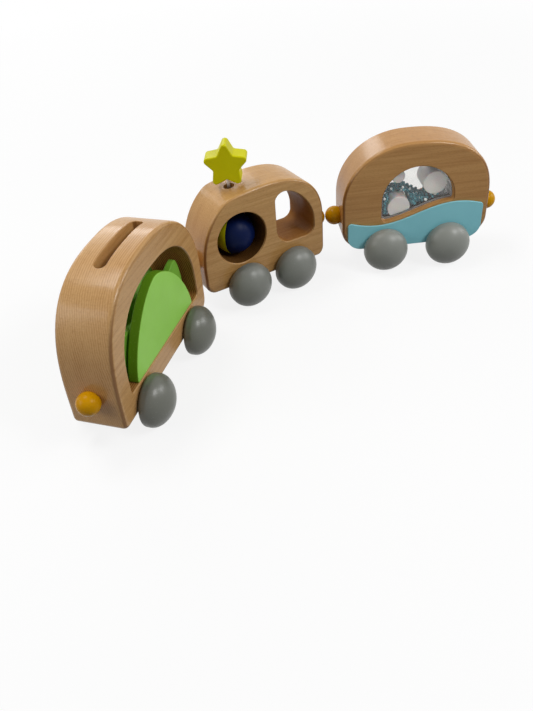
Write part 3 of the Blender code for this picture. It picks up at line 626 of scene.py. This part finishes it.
def ballProfile(growth, steps=32):  # the round part, from the tenon's neck to the tip
    radius, neck = ballShape["radius"] + growth, ballShape["tenon"] + growth
    start = math.pi - math.asin(neck / radius)
    lean = [start * (1 - step / steps) for step in range(steps + 1)]
    return [(radius * math.sin(angle), radius * math.cos(angle)) for angle in lean[:-1]] + [(0.0, radius)]


def turnBall():
    look = ballShape
    deep = look["radius"] - look["cover"]
    foot, bore = -look["tenonLength"], look["bore"]
    profile = [(0.0, deep), (bore, deep), (bore, foot), (look["tenon"], foot)] + ballProfile(0.0)
    return turnOnLathe("ball", profile, look["steps"])


def ballTurns(car):  # where the two balls of a car sit, and which way they point
    shape, standoff = bodyShapes[car], ballShape["standoff"]
    return (("front", -shape["nose"] - standoff, -1), ("rear", shape["tail"] + standoff, 1))


def ballMatrix(along, sign):
    return placed((along, 0.0, ballShape["height"]), sign * math.pi / 2, "Y")


def fitBalls():
    pattern = turnBall()
    for car in carPlace:
        for end, along, sign in ballTurns(car):
            ball = ownCopy(pattern, f"{car}Ball_{end}")
            ball.matrix_world = ballMatrix(along, sign)
            settle(ball, car, paint["ball yellow"], "ball_yellow", f"{car}_{end}_ball")
    bpy.data.objects.remove(pattern, do_unlink=True)


# Bodies
bodyFloor = 17.6  # in millimetres, as the sizes below
edgeRound = sized(front=3.2, middle=2.6, rear=3.0)
rimRound = 1.0 * mm
cutOver = 3 * mm  # how far a cut runs past what it cuts
bodyShapes = {
    "front": sized(
        nose=69.4, tail=71.6, floor=bodyFloor, top=113.0, crown=3.0, width=37.5,
        noseSpring=33.0, nosePower=2.85, noseFoot=(5.0, 5.0),
        tailSpring=51.0, tailPower=2.22, tailFoot=(7.0, 10.0),
    ),
    "middle": sized(
        nose=55.7, tail=52.3, floor=bodyFloor, top=94.0, crown=3.0, width=37.5,
        noseSpring=40.0, noseCentre=-14.0, noseFoot=(8.0, 9.0),
        shoulder=-31.3, shoulderDrop=3.6, shoulderEase=2.6,
        tailSpring=51.0, tailPower=2.45, tailFoot=(6.0, 8.0),
    ),
    "rear": sized(
        nose=60.7, tail=58.9, floor=bodyFloor, top=104.5, crown=-5.0, width=34.5,
        noseSpring=55.0, nosePower=2.1, noseFoot=(17.0, 16.0),
        tailSpring=54.0, tailPower=2.55, tailFoot=(20.0, 18.0),
    ),
}


def middleRoof(x):  # the gentle fall from the crown to the shoulder
    look = bodyShapes["middle"]
    share = (look["crown"] - x) / (look["crown"] - look["shoulder"])
    return look["top"] - look["shoulderDrop"] * share ** 2


def noseAndRoof(look, steps=30):  # up the middle car's nose, over the eased shoulder and along to the crown
    corner = Vector((look["shoulder"], middleRoof(look["shoulder"])))
    centre, spring, ease = look["noseCentre"], look["noseSpring"], look["shoulderEase"]
    reach = -look["nose"] - centre
    stop = math.acos((corner.x - centre) / reach)
    rise = (corner.y - spring) / math.sin(stop)
    leans = [stop * step / steps for step in range(steps)]
    nose = [Vector((centre + reach * math.cos(lean), spring + rise * math.sin(lean))) for lean in leans]
    places = [corner.x + (look["crown"] - corner.x) * step / steps for step in range(1, steps)]
    roof = [Vector((x, middleRoof(x))) for x in places]
    nose = [point for point in nose if (point - corner).length > ease]
    roof = [point for point in roof if (point - corner).length > ease]
    shares = [step / 8 for step in range(1, 8)]
    bend = [nose[-1] * (1 - share) ** 2 + corner * 2 * share * (1 - share) + roof[0] * share ** 2
            for share in shares]
    return [tuple(point) for point in nose + bend + roof]


def bodyOutline(car):
    look = bodyShapes[car]
    return archOutline(look, noseAndRoof(look)[::-1] if car == "middle" else None)


def sawBody(car, openings):  # outline, eased outside edges, then the openings with softer rims
    half = bodyShapes[car]["width"] / 2
    body = easedBoard(f"{car}BodyWood", bodyOutline(car), half, edgeRound[car], 6)
    for opening in openings:
        carve(body, sawOut("opening", opening, -half - cutOver, half + cutOver))
    easeEdges(body, sharpAt(half), rimRound, 4)
    return body


def shadeInsideWalls(body, car, opening, finish):  # the walls of an opening get less lacquer and painted shade
    back = carPlace[car].inverted()
    reach = bodyShapes[car]["width"] / 2 - rimRound
    outline = drawnIn(opening, -0.5 * mm)
    body.data.materials.append(finish)
    for face in body.data.polygons:
        spot = back @ face.center
        if abs(spot.y) < reach and insideOutline((spot.x, spot.z), outline):
            face.material_index = len(body.data.materials) - 1


def boreForAxles(piece, car, reach):
    for along in (-halfWheelbase[car], halfWheelbase[car]):
        drill(piece, wheelShape["bore"], (along, -reach, axleHeight), (along, reach, axleHeight))


def fitUnderside(body, car):  # axle grooves and the seats of the coupling balls
    boreForAxles(body, car, wheelShape["seat"])
    gap = ballShape["gap"]
    foot = -ballShape["tenonLength"] - gap
    for end, along, sign in ballTurns(car):
        profile = [(0.0, foot), (ballShape["tenon"] + gap, foot)] + ballProfile(gap)
        tool = turnOnLathe("seat", profile, ballShape["steps"])
        tool.matrix_world = ballMatrix(along, sign)
        carve(body, tool)


fitBalls()
print("coupling balls fitted")


# Front car: arch with painted hills under a posting slot
frontCavity = sized(
    nose=53.6, tail=58.1, floor=35.5, top=95.4, crown=1.0,
    noseSpring=46.0, nosePower=2.42, noseFoot=(2.0, 3.0),
    tailSpring=46.0, tailPower=2.42, tailFoot=(2.0, 3.0),
)
slotShape = sized(length=58.0, width=8.0, centre=-0.5, rim=0.7, low=85.0, high=116.0)


def slotTool():
    look = slotShape
    radius = look["width"] / 2
    reach = (look["length"] - look["width"]) / 2
    points = []
    for middle, start in ((reach, -math.pi / 2), (-reach, math.pi / 2)):
        for step in range(25):
            angle = start + math.pi * step / 24
            points.append((look["centre"] + middle + radius * math.cos(angle), radius * math.sin(angle)))
    tool = sawOut("slot", points, look["low"], look["high"])
    tool.matrix_world = Matrix.Rotation(math.pi / 2, 4, "X")
    return tool


def makeFrontBody():
    body = sawBody("front", [archOutline(frontCavity)])
    carve(body, slotTool())
    roof = frontCavity["top"] + 5 * mm  # the slot's upper rim lies above this

    def slotRim(edge):
        inside = all(abs(corner.co.y) < slotShape["width"] and corner.co.z > roof for corner in edge.verts)
        return inside and edge.calc_face_angle(0.0) > 0.9
    easeEdges(body, slotRim, slotShape["rim"], 3)
    fitUnderside(body, "front")
    settle(body, "front", beech["front"], "beech", "front_body")
    shadeInsideWalls(body, "front", archOutline(frontCavity), openingShadedBeech["front"])


makeFrontBody()

hillShape = sized(base=35.8, outer=18.45, thick=7.0, nose=43.5, tail=47.5, peak=2.5, rise=50.8, power=1.6,
                  tailPower=1.6, edge=0.8)
farHill = {**hillShape, **sized(rise=46.5, tail=56.5, tailPower=2.4)}
ridgeShape = sized(base=35.8, outer=9.75, thick=4.8, nose=47.0, tail=55.8, low=(-33.0, 28.5),
                   dip=(15.0, 20.2), high=(48.0, 34.0), power=1.9, edge=0.8)


def hillOutline(look):
    peak, base, rise = look["peak"], look["base"], look["rise"]
    points = quarterArch(peak, base, look["tail"] - peak, rise, look["tailPower"], 30)
    nose = quarterArch(peak, base, -look["nose"] - peak, rise, look["power"], 30)
    return withoutDoubles(points + nose[::-1])


def easedRun(start, stop, steps):
    shares = [step / steps for step in range(steps + 1)]
    return [(start[0] + (stop[0] - start[0]) * share,
             start[1] + (stop[1] - start[1]) * (1 - math.cos(math.pi * share)) / 2) for share in shares]


def ridgeOutline():
    look = ridgeShape
    base = look["base"]
    low, dip, high = [(x, base + rise) for x, rise in (look["low"], look["dip"], look["high"])]
    points = quarterArch(high[0], base, look["tail"] - high[0], high[1] - base, look["power"], 20)
    points += easedRun(high, dip, 16) + easedRun(dip, low, 16)
    points += quarterArch(low[0], base, -look["nose"] - low[0], low[1] - base, look["power"], 20)[::-1]
    return withoutDoubles(points)


def makeHills():
    leaf, dark = (paint["leaf green"], "leaf_green"), (paint["ridge green"], "dark_green")
    for name, outline, look, sign, coat, node in (
        ("frontHill_left", hillOutline(hillShape), hillShape, -1, leaf, "front_hill_left"),
        ("frontHill_right", hillOutline(farHill), farHill, 1, leaf, "front_hill_right"),
        ("frontRidge", ridgeOutline(), ridgeShape, -1, dark, "front_ridge"),
    ):
        half = look["thick"] / 2
        board = easedBoard(name, outline, half, look["edge"], 3)
        board.matrix_world = Matrix.Translation((0.0, sign * (look["outer"] - half), 0.0))
        settle(board, "front", *coat, node)


makeHills()
print("front car made")


# Middle car: round chamber with a spinning ball, star on a rod, open window
chamberShape = sized(x=-21.7, z=57.0, radius=20.8, gap=0.03, back=(16.85, 18.45), backEdge=0.25)
windowShape = sized(
    nose=-9.0, tail=43.0, floor=40.3, top=83.7, crown=17.2,
    noseSpring=77.0, nosePower=2.0, noseFoot=(12.0, 14.0),
    tailSpring=53.3, tailPower=1.68, tailFoot=(8.0, 7.0),
)
spinnerShape = sized(
    x=-19.5, rod=1.3, gap=0.3, chamfer=0.2, foot=30.5, well=4.2, wellDepth=4.0, drillOver=5.0,
    ball=16.4, ballHeight=53.6, ballBore=20.0, ballEdge=0.25, turn=math.radians(128.0),
)
starShape = sized(tip=16.2, tipRound=2.6, neck=10.2, neckRound=2.5, width=15.0, edge=1.0,
                  turn=math.radians(-32.0), points=5)
spinPoint = Vector((spinnerShape["x"], 0.0, 0.0))
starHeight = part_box("middle_star")[1].z - starShape["tip"]
roofHeight = middleRoof(spinnerShape["x"])


def ringOutline(x, z, radius, steps=96):
    turns = [2 * math.pi * step / steps for step in range(steps)]
    return [(x + radius * math.cos(turn), z + radius * math.sin(turn)) for turn in turns]


def makeMiddleBody():
    look = chamberShape
    chamber = ringOutline(look["x"], look["z"], look["radius"])
    body = sawBody("middle", [chamber, archOutline(windowShape)])
    spin = spinnerShape
    top = Vector((0.0, 0.0, bodyShapes["middle"]["top"] + spin["drillOver"]))
    foot = Vector((0.0, 0.0, spin["foot"] - spin["gap"]))
    well = Vector((0.0, 0.0, roofHeight - spin["wellDepth"]))
    drill(body, spin["rod"] + spin["gap"], spinPoint + foot, spinPoint + top)
    drill(body, spin["well"], spinPoint + well, spinPoint + top)
    fitUnderside(body, "middle")
    settle(body, "middle", beech["middle"], "beech", "middle_body")
    shadeInsideWalls(body, "middle", archOutline(windowShape), openingShadedBeech["middle"])
    shadeInsideWalls(body, "middle", chamber, chamberShadedBeech)


def closeChamber():  # the thin board behind the ball
    look = chamberShape
    outline = ringOutline(look["x"], look["z"], look["radius"] - look["gap"])
    back = sawOut("chamberBack", outline, *look["back"])
    easeEdges(back, lambda edge: edge.calc_face_angle(0.0) > sharpFold, look["backEdge"], 2)
    settle(back, "middle", beech["middle"], "beech", "middle_chamber_back")
    back.data.materials.append(chamberShadedBeech)
    for face in back.data.polygons:
        face.material_index = int(face.normal.y < 0.5)  # lacquered on its outer face only; its other faces take the chamber's painted shade


def starOutline():
    look = starShape
    pitch = math.pi / look["points"]
    tipCentre = look["tip"] - look["tipRound"]
    neckCentre = look["neck"] + look["neckRound"]
    span = Vector((-neckCentre * math.sin(pitch), neckCentre * math.cos(pitch) - tipCentre))
    heading = math.atan2(span.y, span.x) % (2 * math.pi)
    sweep = heading - math.acos((look["tipRound"] + look["neckRound"]) / span.length) - math.pi / 2
    points = []
    for point in range(look["points"]):
        spoke = math.pi / 2 + 2 * pitch * point
        for centre, lean, radius, aim, arc in (
            (tipCentre, spoke, look["tipRound"], spoke, sweep),
            (neckCentre, spoke + pitch, look["neckRound"], spoke + pitch + math.pi, pitch - sweep),
        ):
            for step in range(-8, 9):
                angle = aim + arc * step / 8
                points.append((centre * math.cos(lean) + radius * math.cos(angle),
                               centre * math.sin(lean) + radius * math.sin(angle)))
    return points


def makeSpinner():
    spin = spinnerShape
    up = Vector((0.0, 0.0, 1.0))
    foot, rodRadius, chamfer = spin["foot"], spin["rod"], spin["chamfer"]
    bore = rodRadius + spin["gap"]
    profile = [(0.0, foot), (rodRadius - chamfer, foot), (rodRadius, foot + chamfer),
               (rodRadius, starHeight - chamfer), (rodRadius - chamfer, starHeight), (0.0, starHeight)]
    rod = turnOnLathe("spinRod", profile, 32)
    rod.matrix_world = Matrix.Translation(spinPoint)
    settle(rod, "middle", metal["steel"], "steel", "middle_rod", "spinner")
    half = starShape["width"] / 2
    star = easedBoard("star", starOutline(), half, starShape["edge"], 4)
    drill(star, bore, -up * starShape["tip"], up * spin["gap"])
    star.matrix_world = placed(spinPoint + up * starHeight, starShape["turn"], "Z")
    settle(star, "middle", paint["lime"], "lime", "middle_star", "spinner")

    def seam(edge):  # the rim of a half ball, without the mouths of its bore
        size = spin["ball"]
        rim = all(corner.co.length > 0.98 * size and abs(corner.co.z) < 0.97 * size for corner in edge.verts)
        return rim and edge.calc_face_angle(0.0) > sharpFold

    for name, turn in (("lime", spin["turn"]), ("navy", spin["turn"] + math.pi)):
        nothingSelected()
        bpy.ops.mesh.primitive_uv_sphere_add(segments=64, ring_count=40, radius=spin["ball"])
        ball = bpy.context.object
        ball.name = f"spinBall_{name}"
        bpy.ops.object.mode_set(mode="EDIT")
        bpy.ops.mesh.select_all(action="SELECT")
        cut = (spin["gap"] / 2, 0, 0)
        bpy.ops.mesh.bisect(plane_co=cut, plane_no=(1, 0, 0), use_fill=True, clear_inner=True)
        bpy.ops.object.mode_set(mode="OBJECT")
        drill(ball, bore, -up * spin["ballBore"], up * spin["ballBore"])
        easeEdges(ball, seam, spin["ballEdge"], 2)
        ball.matrix_world = placed(spinPoint + up * spin["ballHeight"], turn, "Z")
        settle(ball, "middle", paint[name], name, f"middle_ball_{name}", "spinner")


makeMiddleBody()
closeChamber()
makeSpinner()
print("middle car made")


# Rear car: clear window with loose beads over a wave panel
beadWindow = sized(nose=28.8, tail=29.7, top=84.8, jamb=1.6, power=1.95, sill=1.3, noseCorner=4.0,
                   tailCorner=2.2)
waveShape = sized(
    mid=45.3, rise=7.3, halfLength=64.0, thick=1.5, gap=0.3, nose=56.5, tail=54.0, corner=3.0, edge=0.4,
    foot=bodyFloor + 0.4, noseFoot=(12.0, 10.0), tailFoot=(14.0, 12.0), boreReach=5.0,
)
paneShape = sized(gap=0.3, face=12.75, thick=2.0, edge=0.25)
caseShape = sized(wall=1.2, half=10.45)
pegShapes = sized(upper_rear=(15.2, 67.0, 9.6), lower_front=(-13.6, 48.6, 9.2),
                  upper_front=(-15.0, 75.4, 5.4))
pegFit = sized(edge=0.5, gap=0.2)


def waveHeight(x):
    return waveShape["mid"] + waveShape["rise"] * math.sin(math.pi * x / waveShape["halfLength"])


def waveLine(start, stop, lift, steps):
    places = [start + (stop - start) * step / steps for step in range(steps + 1)]
    return [(x, waveHeight(x) + lift) for x in places]


def windowOutline():
    look = beadWindow
    noseCorner, tailCorner = look["noseCorner"], look["tailCorner"]
    sill = waveLine(noseCorner - look["nose"], look["tail"] - tailCorner, look["sill"], 36)
    points = list(sill)
    points += quarterArch(sill[-1][0], sill[-1][1] + tailCorner, tailCorner, -tailCorner, 2.0, 8)[::-1]
    spring = sill[-1][1] + tailCorner + look["jamb"]
    rise = look["top"] - spring
    points += quarterArch(0.0, spring, look["tail"], rise, look["power"], 30)
    points += quarterArch(0.0, spring, -look["nose"], rise, look["power"], 30)[::-1]
    points += quarterArch(sill[0][0], sill[0][1] + noseCorner, -noseCorner, -noseCorner, 2.0, 8)
    return withoutDoubles(points)


def makeRearBody():
    body = sawBody("rear", [windowOutline()])
    fitUnderside(body, "rear")
    settle(body, "rear", beech["rear"], "beech", "rear_body")


def panelOutline():
    look = waveShape
    size = look["corner"]
    footX, footZ = look["tailFoot"]
    points = quarterArch(look["tail"] - footX, look["foot"] + footZ, footX, -footZ, 2.0, 14)[::-1]
    crest = waveLine(size - look["nose"], look["tail"] - size, 0.0, 72)
    points += quarterArch(crest[-1][0], crest[-1][1] - size, size, size, 2.0, 8)
    points += crest[::-1]
    points += quarterArch(crest[0][0], crest[0][1] - size, -size, size, 2.0, 8)[::-1]
    footX, footZ = look["noseFoot"]
    points += quarterArch(footX - look["nose"], look["foot"] + footZ, -footX, -footZ, 2.0, 14)
    return withoutDoubles(points)


def makePanels():
    look = waveShape
    half = look["thick"] / 2
    middle = bodyShapes["rear"]["width"] / 2 + look["gap"] + half
    for side, sign in sidePairs:
        panel = easedBoard(f"wavePanel_{side}", panelOutline(), half, look["edge"], 3)
        boreForAxles(panel, "rear", look["boreReach"])
        panel.matrix_world = Matrix.Translation((0.0, sign * middle, 0.0))
        settle(panel, "rear", paint["light blue"], "light_blue", f"rear_wave_{side}")


def makePanes():
    look = paneShape
    half = look["thick"] / 2
    for side, sign in sidePairs:
        pane = easedBoard(f"pane_{side}", drawnIn(windowOutline(), look["gap"]), half, look["edge"], 2)
        pane.matrix_world = Matrix.Translation((0.0, sign * (look["face"] - half), 0.0))
        settle(pane, "rear", clear, "clear", f"rear_pane_{side}")


def makeCase():  # the clear wall round the beads, between the panes
    outline = drawnIn(windowOutline(), paneShape["gap"])
    half = caseShape["half"]
    case = sawOut("beadCase", outline, -half, half)
    carve(case, sawOut("beadRoom", drawnIn(outline, caseShape["wall"]), -half - cutOver, half + cutOver))
    settle(case, "rear", caseClear, "clear", "rear_bead_case")


def keepInside(piece, outline):  # trims a piece to the room inside an outline
    onlySelected(piece)
    bpy.ops.object.transform_apply(location=True, rotation=True, scale=True)
    reach = caseShape["half"] + cutOver
    carve(piece, sawOut("room", outline, -reach, reach), "INTERSECT")


def makePegs():
    half, ease = caseShape["half"], pegFit["edge"]
    room = drawnIn(windowOutline(), paneShape["gap"] + caseShape["wall"] + pegFit["gap"])
    for name, (x, z, radius) in pegShapes.items():
        profile = [(0.0, -half), (radius - ease, -half)] + easedFoot(radius - ease, -half, ease, 4)
        profile += [(across, -height) for across, height in reversed(profile)]
        peg = turnOnLathe(f"peg_{name}", withoutDoubles(profile), 56)
        peg.matrix_world = placed((x, 0.0, z), math.pi / 2, "X")
        keepInside(peg, room)
        settle(peg, "rear", paint["peg white"], "peg_white", f"rear_peg_{name}")


heapShape = sized(
    bead=1.2, nose=(-31.8, 58.5), peak=(-8.5, 64.0), tail=14.0, skirt=(20.0, 5.8), lowest=38.0, shelf=4.0,
    crust=5.0, shown=2.0, rows=40, sides=8, rings=5, swell=1.12, squash=0.82, sizes=(0.92, 1.04), seed=5,
    whites=0.16,
)
heapPacking = dict(layer=1.7, row=1.72, column=2.0, shift=0.8, loose=0.25, sway=0.1,
                   fromPegs=1.05, fromCase=1.1, fromPanes=1.2, sunk=0.4)  # in bead radii


def heapHeight(x):  # top of the heap over the sill
    look = heapShape
    noseX, noseZ = look["nose"]
    peakX, peakZ = look["peak"]
    reach, depth = look["skirt"]
    low = waveHeight(x) + (depth if x < reach else 0.0)
    if x < peakX:
        return noseZ + (peakZ - noseZ) * (x - noseX) / (peakX - noseX)
    share = (x - peakX) / (look["tail"] - peakX)
    return max(low, peakZ + (waveHeight(look["tail"]) - peakZ) * share)


def beadPlaces():
    look, pack = heapShape, heapPacking
    size, loose, sway = look["bead"], pack["loose"], pack["sway"]
    roll = random.Random(look["seed"])
    room = drawnIn(drawnIn(windowOutline(), paneShape["gap"] + caseShape["wall"]), size * pack["fromCase"])
    pegX, pegZ, pegRadius = pegShapes["lower_front"]
    pegTop = pegZ + pegRadius + look["shelf"]
    depth = caseShape["half"] - size * pack["fromPanes"]
    layers = int(2 * depth / (size * pack["layer"]))
    places = []
    for layer in range(layers + 1):
        y = -depth + layer * 2 * depth / layers
        for row in range(look["rows"]):
            z = look["lowest"] + row * size * pack["row"] + (layer % 2) * size * pack["shift"]
            for column in range(look["rows"]):
                x = -beadWindow["nose"] + column * size * pack["column"] + (row % 2) * size
                spot = (x + roll.uniform(-loose, loose) * size, z + roll.uniform(-loose, loose) * size)
                if y < 0 and abs(spot[0] - pegX) < pegRadius and pegZ < spot[1] < pegTop:
                    continue  # the peg's face stays in view
                clearOfPegs = all(math.dist(spot, (px, pz)) > radius + size * pack["fromPegs"]
                                  for px, pz, radius in pegShapes.values())
                inHeap = spot[1] < heapHeight(spot[0]) - size * pack["sunk"]
                if inHeap and clearOfPegs and insideOutline(spot, room):
                    places.append((spot[0], y + roll.uniform(-sway, sway) * size, spot[1]))
    return places


def makeBeads():
    look = heapShape
    nothingSelected()
    radius = look["bead"] * look["swell"]
    bpy.ops.mesh.primitive_uv_sphere_add(segments=look["sides"], ring_count=look["rings"], radius=radius)
    bead = bpy.context.object
    bead.name = "bead"
    for corner in bead.data.vertices:  # flattened at the poles, as a pressed bead is
        corner.co.z *= look["squash"]
    corners = [corner.co.copy() for corner in bead.data.vertices]
    faces = [tuple(face.vertices) for face in bead.data.polygons]
    roll = random.Random(look["seed"] + 1)
    allCorners, allFaces, pale = [], [], []
    places = beadPlaces()
    for place in places:
        turn = Matrix.Rotation(roll.uniform(0, math.pi), 3, "X")
        turn = turn @ Matrix.Rotation(roll.uniform(0, math.pi), 3, "Y")
        size = roll.uniform(*look["sizes"])
        start = len(allCorners)
        allCorners += [turn @ corner * size + Vector(place) for corner in corners]
        allFaces += [tuple(start + index for index in face) for face in faces]
        # painted highlights: some front beads at the heap's top turn white
        onTop = place[1] < look["shown"] and place[2] > heapHeight(place[0]) - look["crust"]
        pale += [int(onTop and roll.random() < look["whites"])] * len(faces)
    heapMesh = bpy.data.meshes.new("beadHeap")
    heapMesh.from_pydata(allCorners, [], allFaces)
    heap = bpy.data.objects.new("beadHeap", heapMesh)
    bpy.context.collection.objects.link(heap)
    bpy.data.objects.remove(bead, do_unlink=True)
    onlySelected(heap)
    bpy.ops.object.shade_smooth()
    settle(heap, "rear", beadGlass, "bead_teal", "rear_beads", sand=False)
    heap.data.materials.append(paint["glint bead white"])
    heap.data.polygons.foreach_set("material_index", pale)
    print("beads poured:", len(places))


makeRearBody()
makePanels()
makePanes()
makeCase()
makePegs()
makeBeads()
print("rear car made")

# Pieces that keep their solids
for name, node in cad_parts.items():
    if node.hide_render:
        continue
    node.data.materials.clear()
    if "axle_strip" in name:
        finish = beech[name.split("_")[0]]
    else:
        finish = metal["magnet" if "magnet" in name else "steel"]
    node.data.materials.append(finish)


# Stage
stageLook = dict(size=6.0, bounce=0.22, seen=0.9, shadow=0.16, fade=(0.4, 1.1), ambient=0.18)
lampLooks = {
    "overhead": dict(place=(-0.28, 0.36, 1.12), size=(0.5, 0.3), power=4.6),
    "back": dict(place=(0.02, 1.15, 0.6), size=(1.0, 0.2), power=3.4),
    "front": dict(place=(0.45, -0.753, 0.891), size=(0.35, 0.35), power=5.4),
    "right": dict(place=(1.02, -0.46, 0.56), size=(0.4, 0.4), power=3.4),
    "left": dict(place=(-1.1, 0.12, 0.57), size=(0.6, 0.6), power=4.0),
}


def seenBy(tree):  # camera, mirror and glass rays see plain white
    path = addNode(tree, "LightPath")
    seen = mathOf(tree, "MAXIMUM", path.outputs["Is Camera Ray"], path.outputs["Is Glossy Ray"])
    return mathOf(tree, "MAXIMUM", seen, path.outputs["Is Transmission Ray"])


def layFloor():
    nothingSelected()
    bpy.ops.mesh.primitive_plane_add(size=stageLook["size"], location=(0, 0, -0.1 * mm))
    floor = bpy.context.object
    floor.name = "floor"
    finish, tree, shader = startFinish("pale floor")
    tree.nodes.remove(shader)
    bounce, lit = [addNode(tree, "BsdfDiffuse", {"Color": (grey, grey, grey, 1.0)}).outputs["BSDF"]
                   for grey in (stageLook["bounce"], stageLook["seen"])]
    glow = addNode(tree, "Emission").outputs["Emission"]
    away = addNode(tree, "VectorMath", {0: surfacePoint(tree)}, operation="LENGTH").outputs["Value"]
    shade = between(tree, away, *stageLook["fade"], stageLook["shadow"], 0.0)
    shown = addNode(tree, "MixShader", {0: shade, 1: glow, 2: lit}).outputs["Shader"]
    mix = addNode(tree, "MixShader", {0: seenBy(tree), 1: bounce, 2: shown}).outputs["Shader"]
    plug(tree, tree.nodes["Material Output"], {"Surface": mix})
    floor.data.materials.append(finish)


def hangLights():
    world = bpy.data.worlds.new("studio")
    bpy.context.scene.world = world
    world.use_nodes = True
    tree = world.node_tree
    strength = between(tree, seenBy(tree), 0.0, 1.0, stageLook["ambient"], 1.0)
    plug(tree, tree.nodes["Background"], {"Strength": strength, "Color": (1.0, 1.0, 1.0, 1.0)})
    for name, look in lampLooks.items():
        lamp = bpy.data.lights.new(name, "AREA")
        lamp.shape = "RECTANGLE"
        lamp.size, lamp.size_y = look["size"]
        lamp.energy = look["power"]
        holder = bpy.data.objects.new(name, lamp)
        bpy.context.collection.objects.link(holder)
        holder.location = look["place"]
        holder.rotation_euler = (-holder.location).to_track_quat("-Z", "Y").to_euler()


cameraLook = dict(place=(-0.229593, -0.398499, 0.3192), heading=-27.2, lift=51.19, roll=-5.0,
                  focal=699.4, longSide=711.0, sensor=36.0)


def setCamera():
    look = cameraLook
    lens = bpy.data.cameras.new("camera")
    lens.sensor_width = look["sensor"]
    lens.lens = look["focal"] * look["sensor"] / look["longSide"]
    lens.clip_start = 0.01
    camera = bpy.data.objects.new("camera", lens)
    bpy.context.collection.objects.link(camera)
    camera.matrix_world = (
        placed(look["place"], math.radians(look["heading"]), "Z")
        @ Matrix.Rotation(math.radians(look["lift"]), 4, "X")
        @ Matrix.Rotation(math.radians(look["roll"]), 4, "Z")
    )
    bpy.context.scene.camera = camera


layFloor()
hangLights()
setCamera()
bpy.context.scene.view_settings.view_transform = "Standard"
print("stage set")
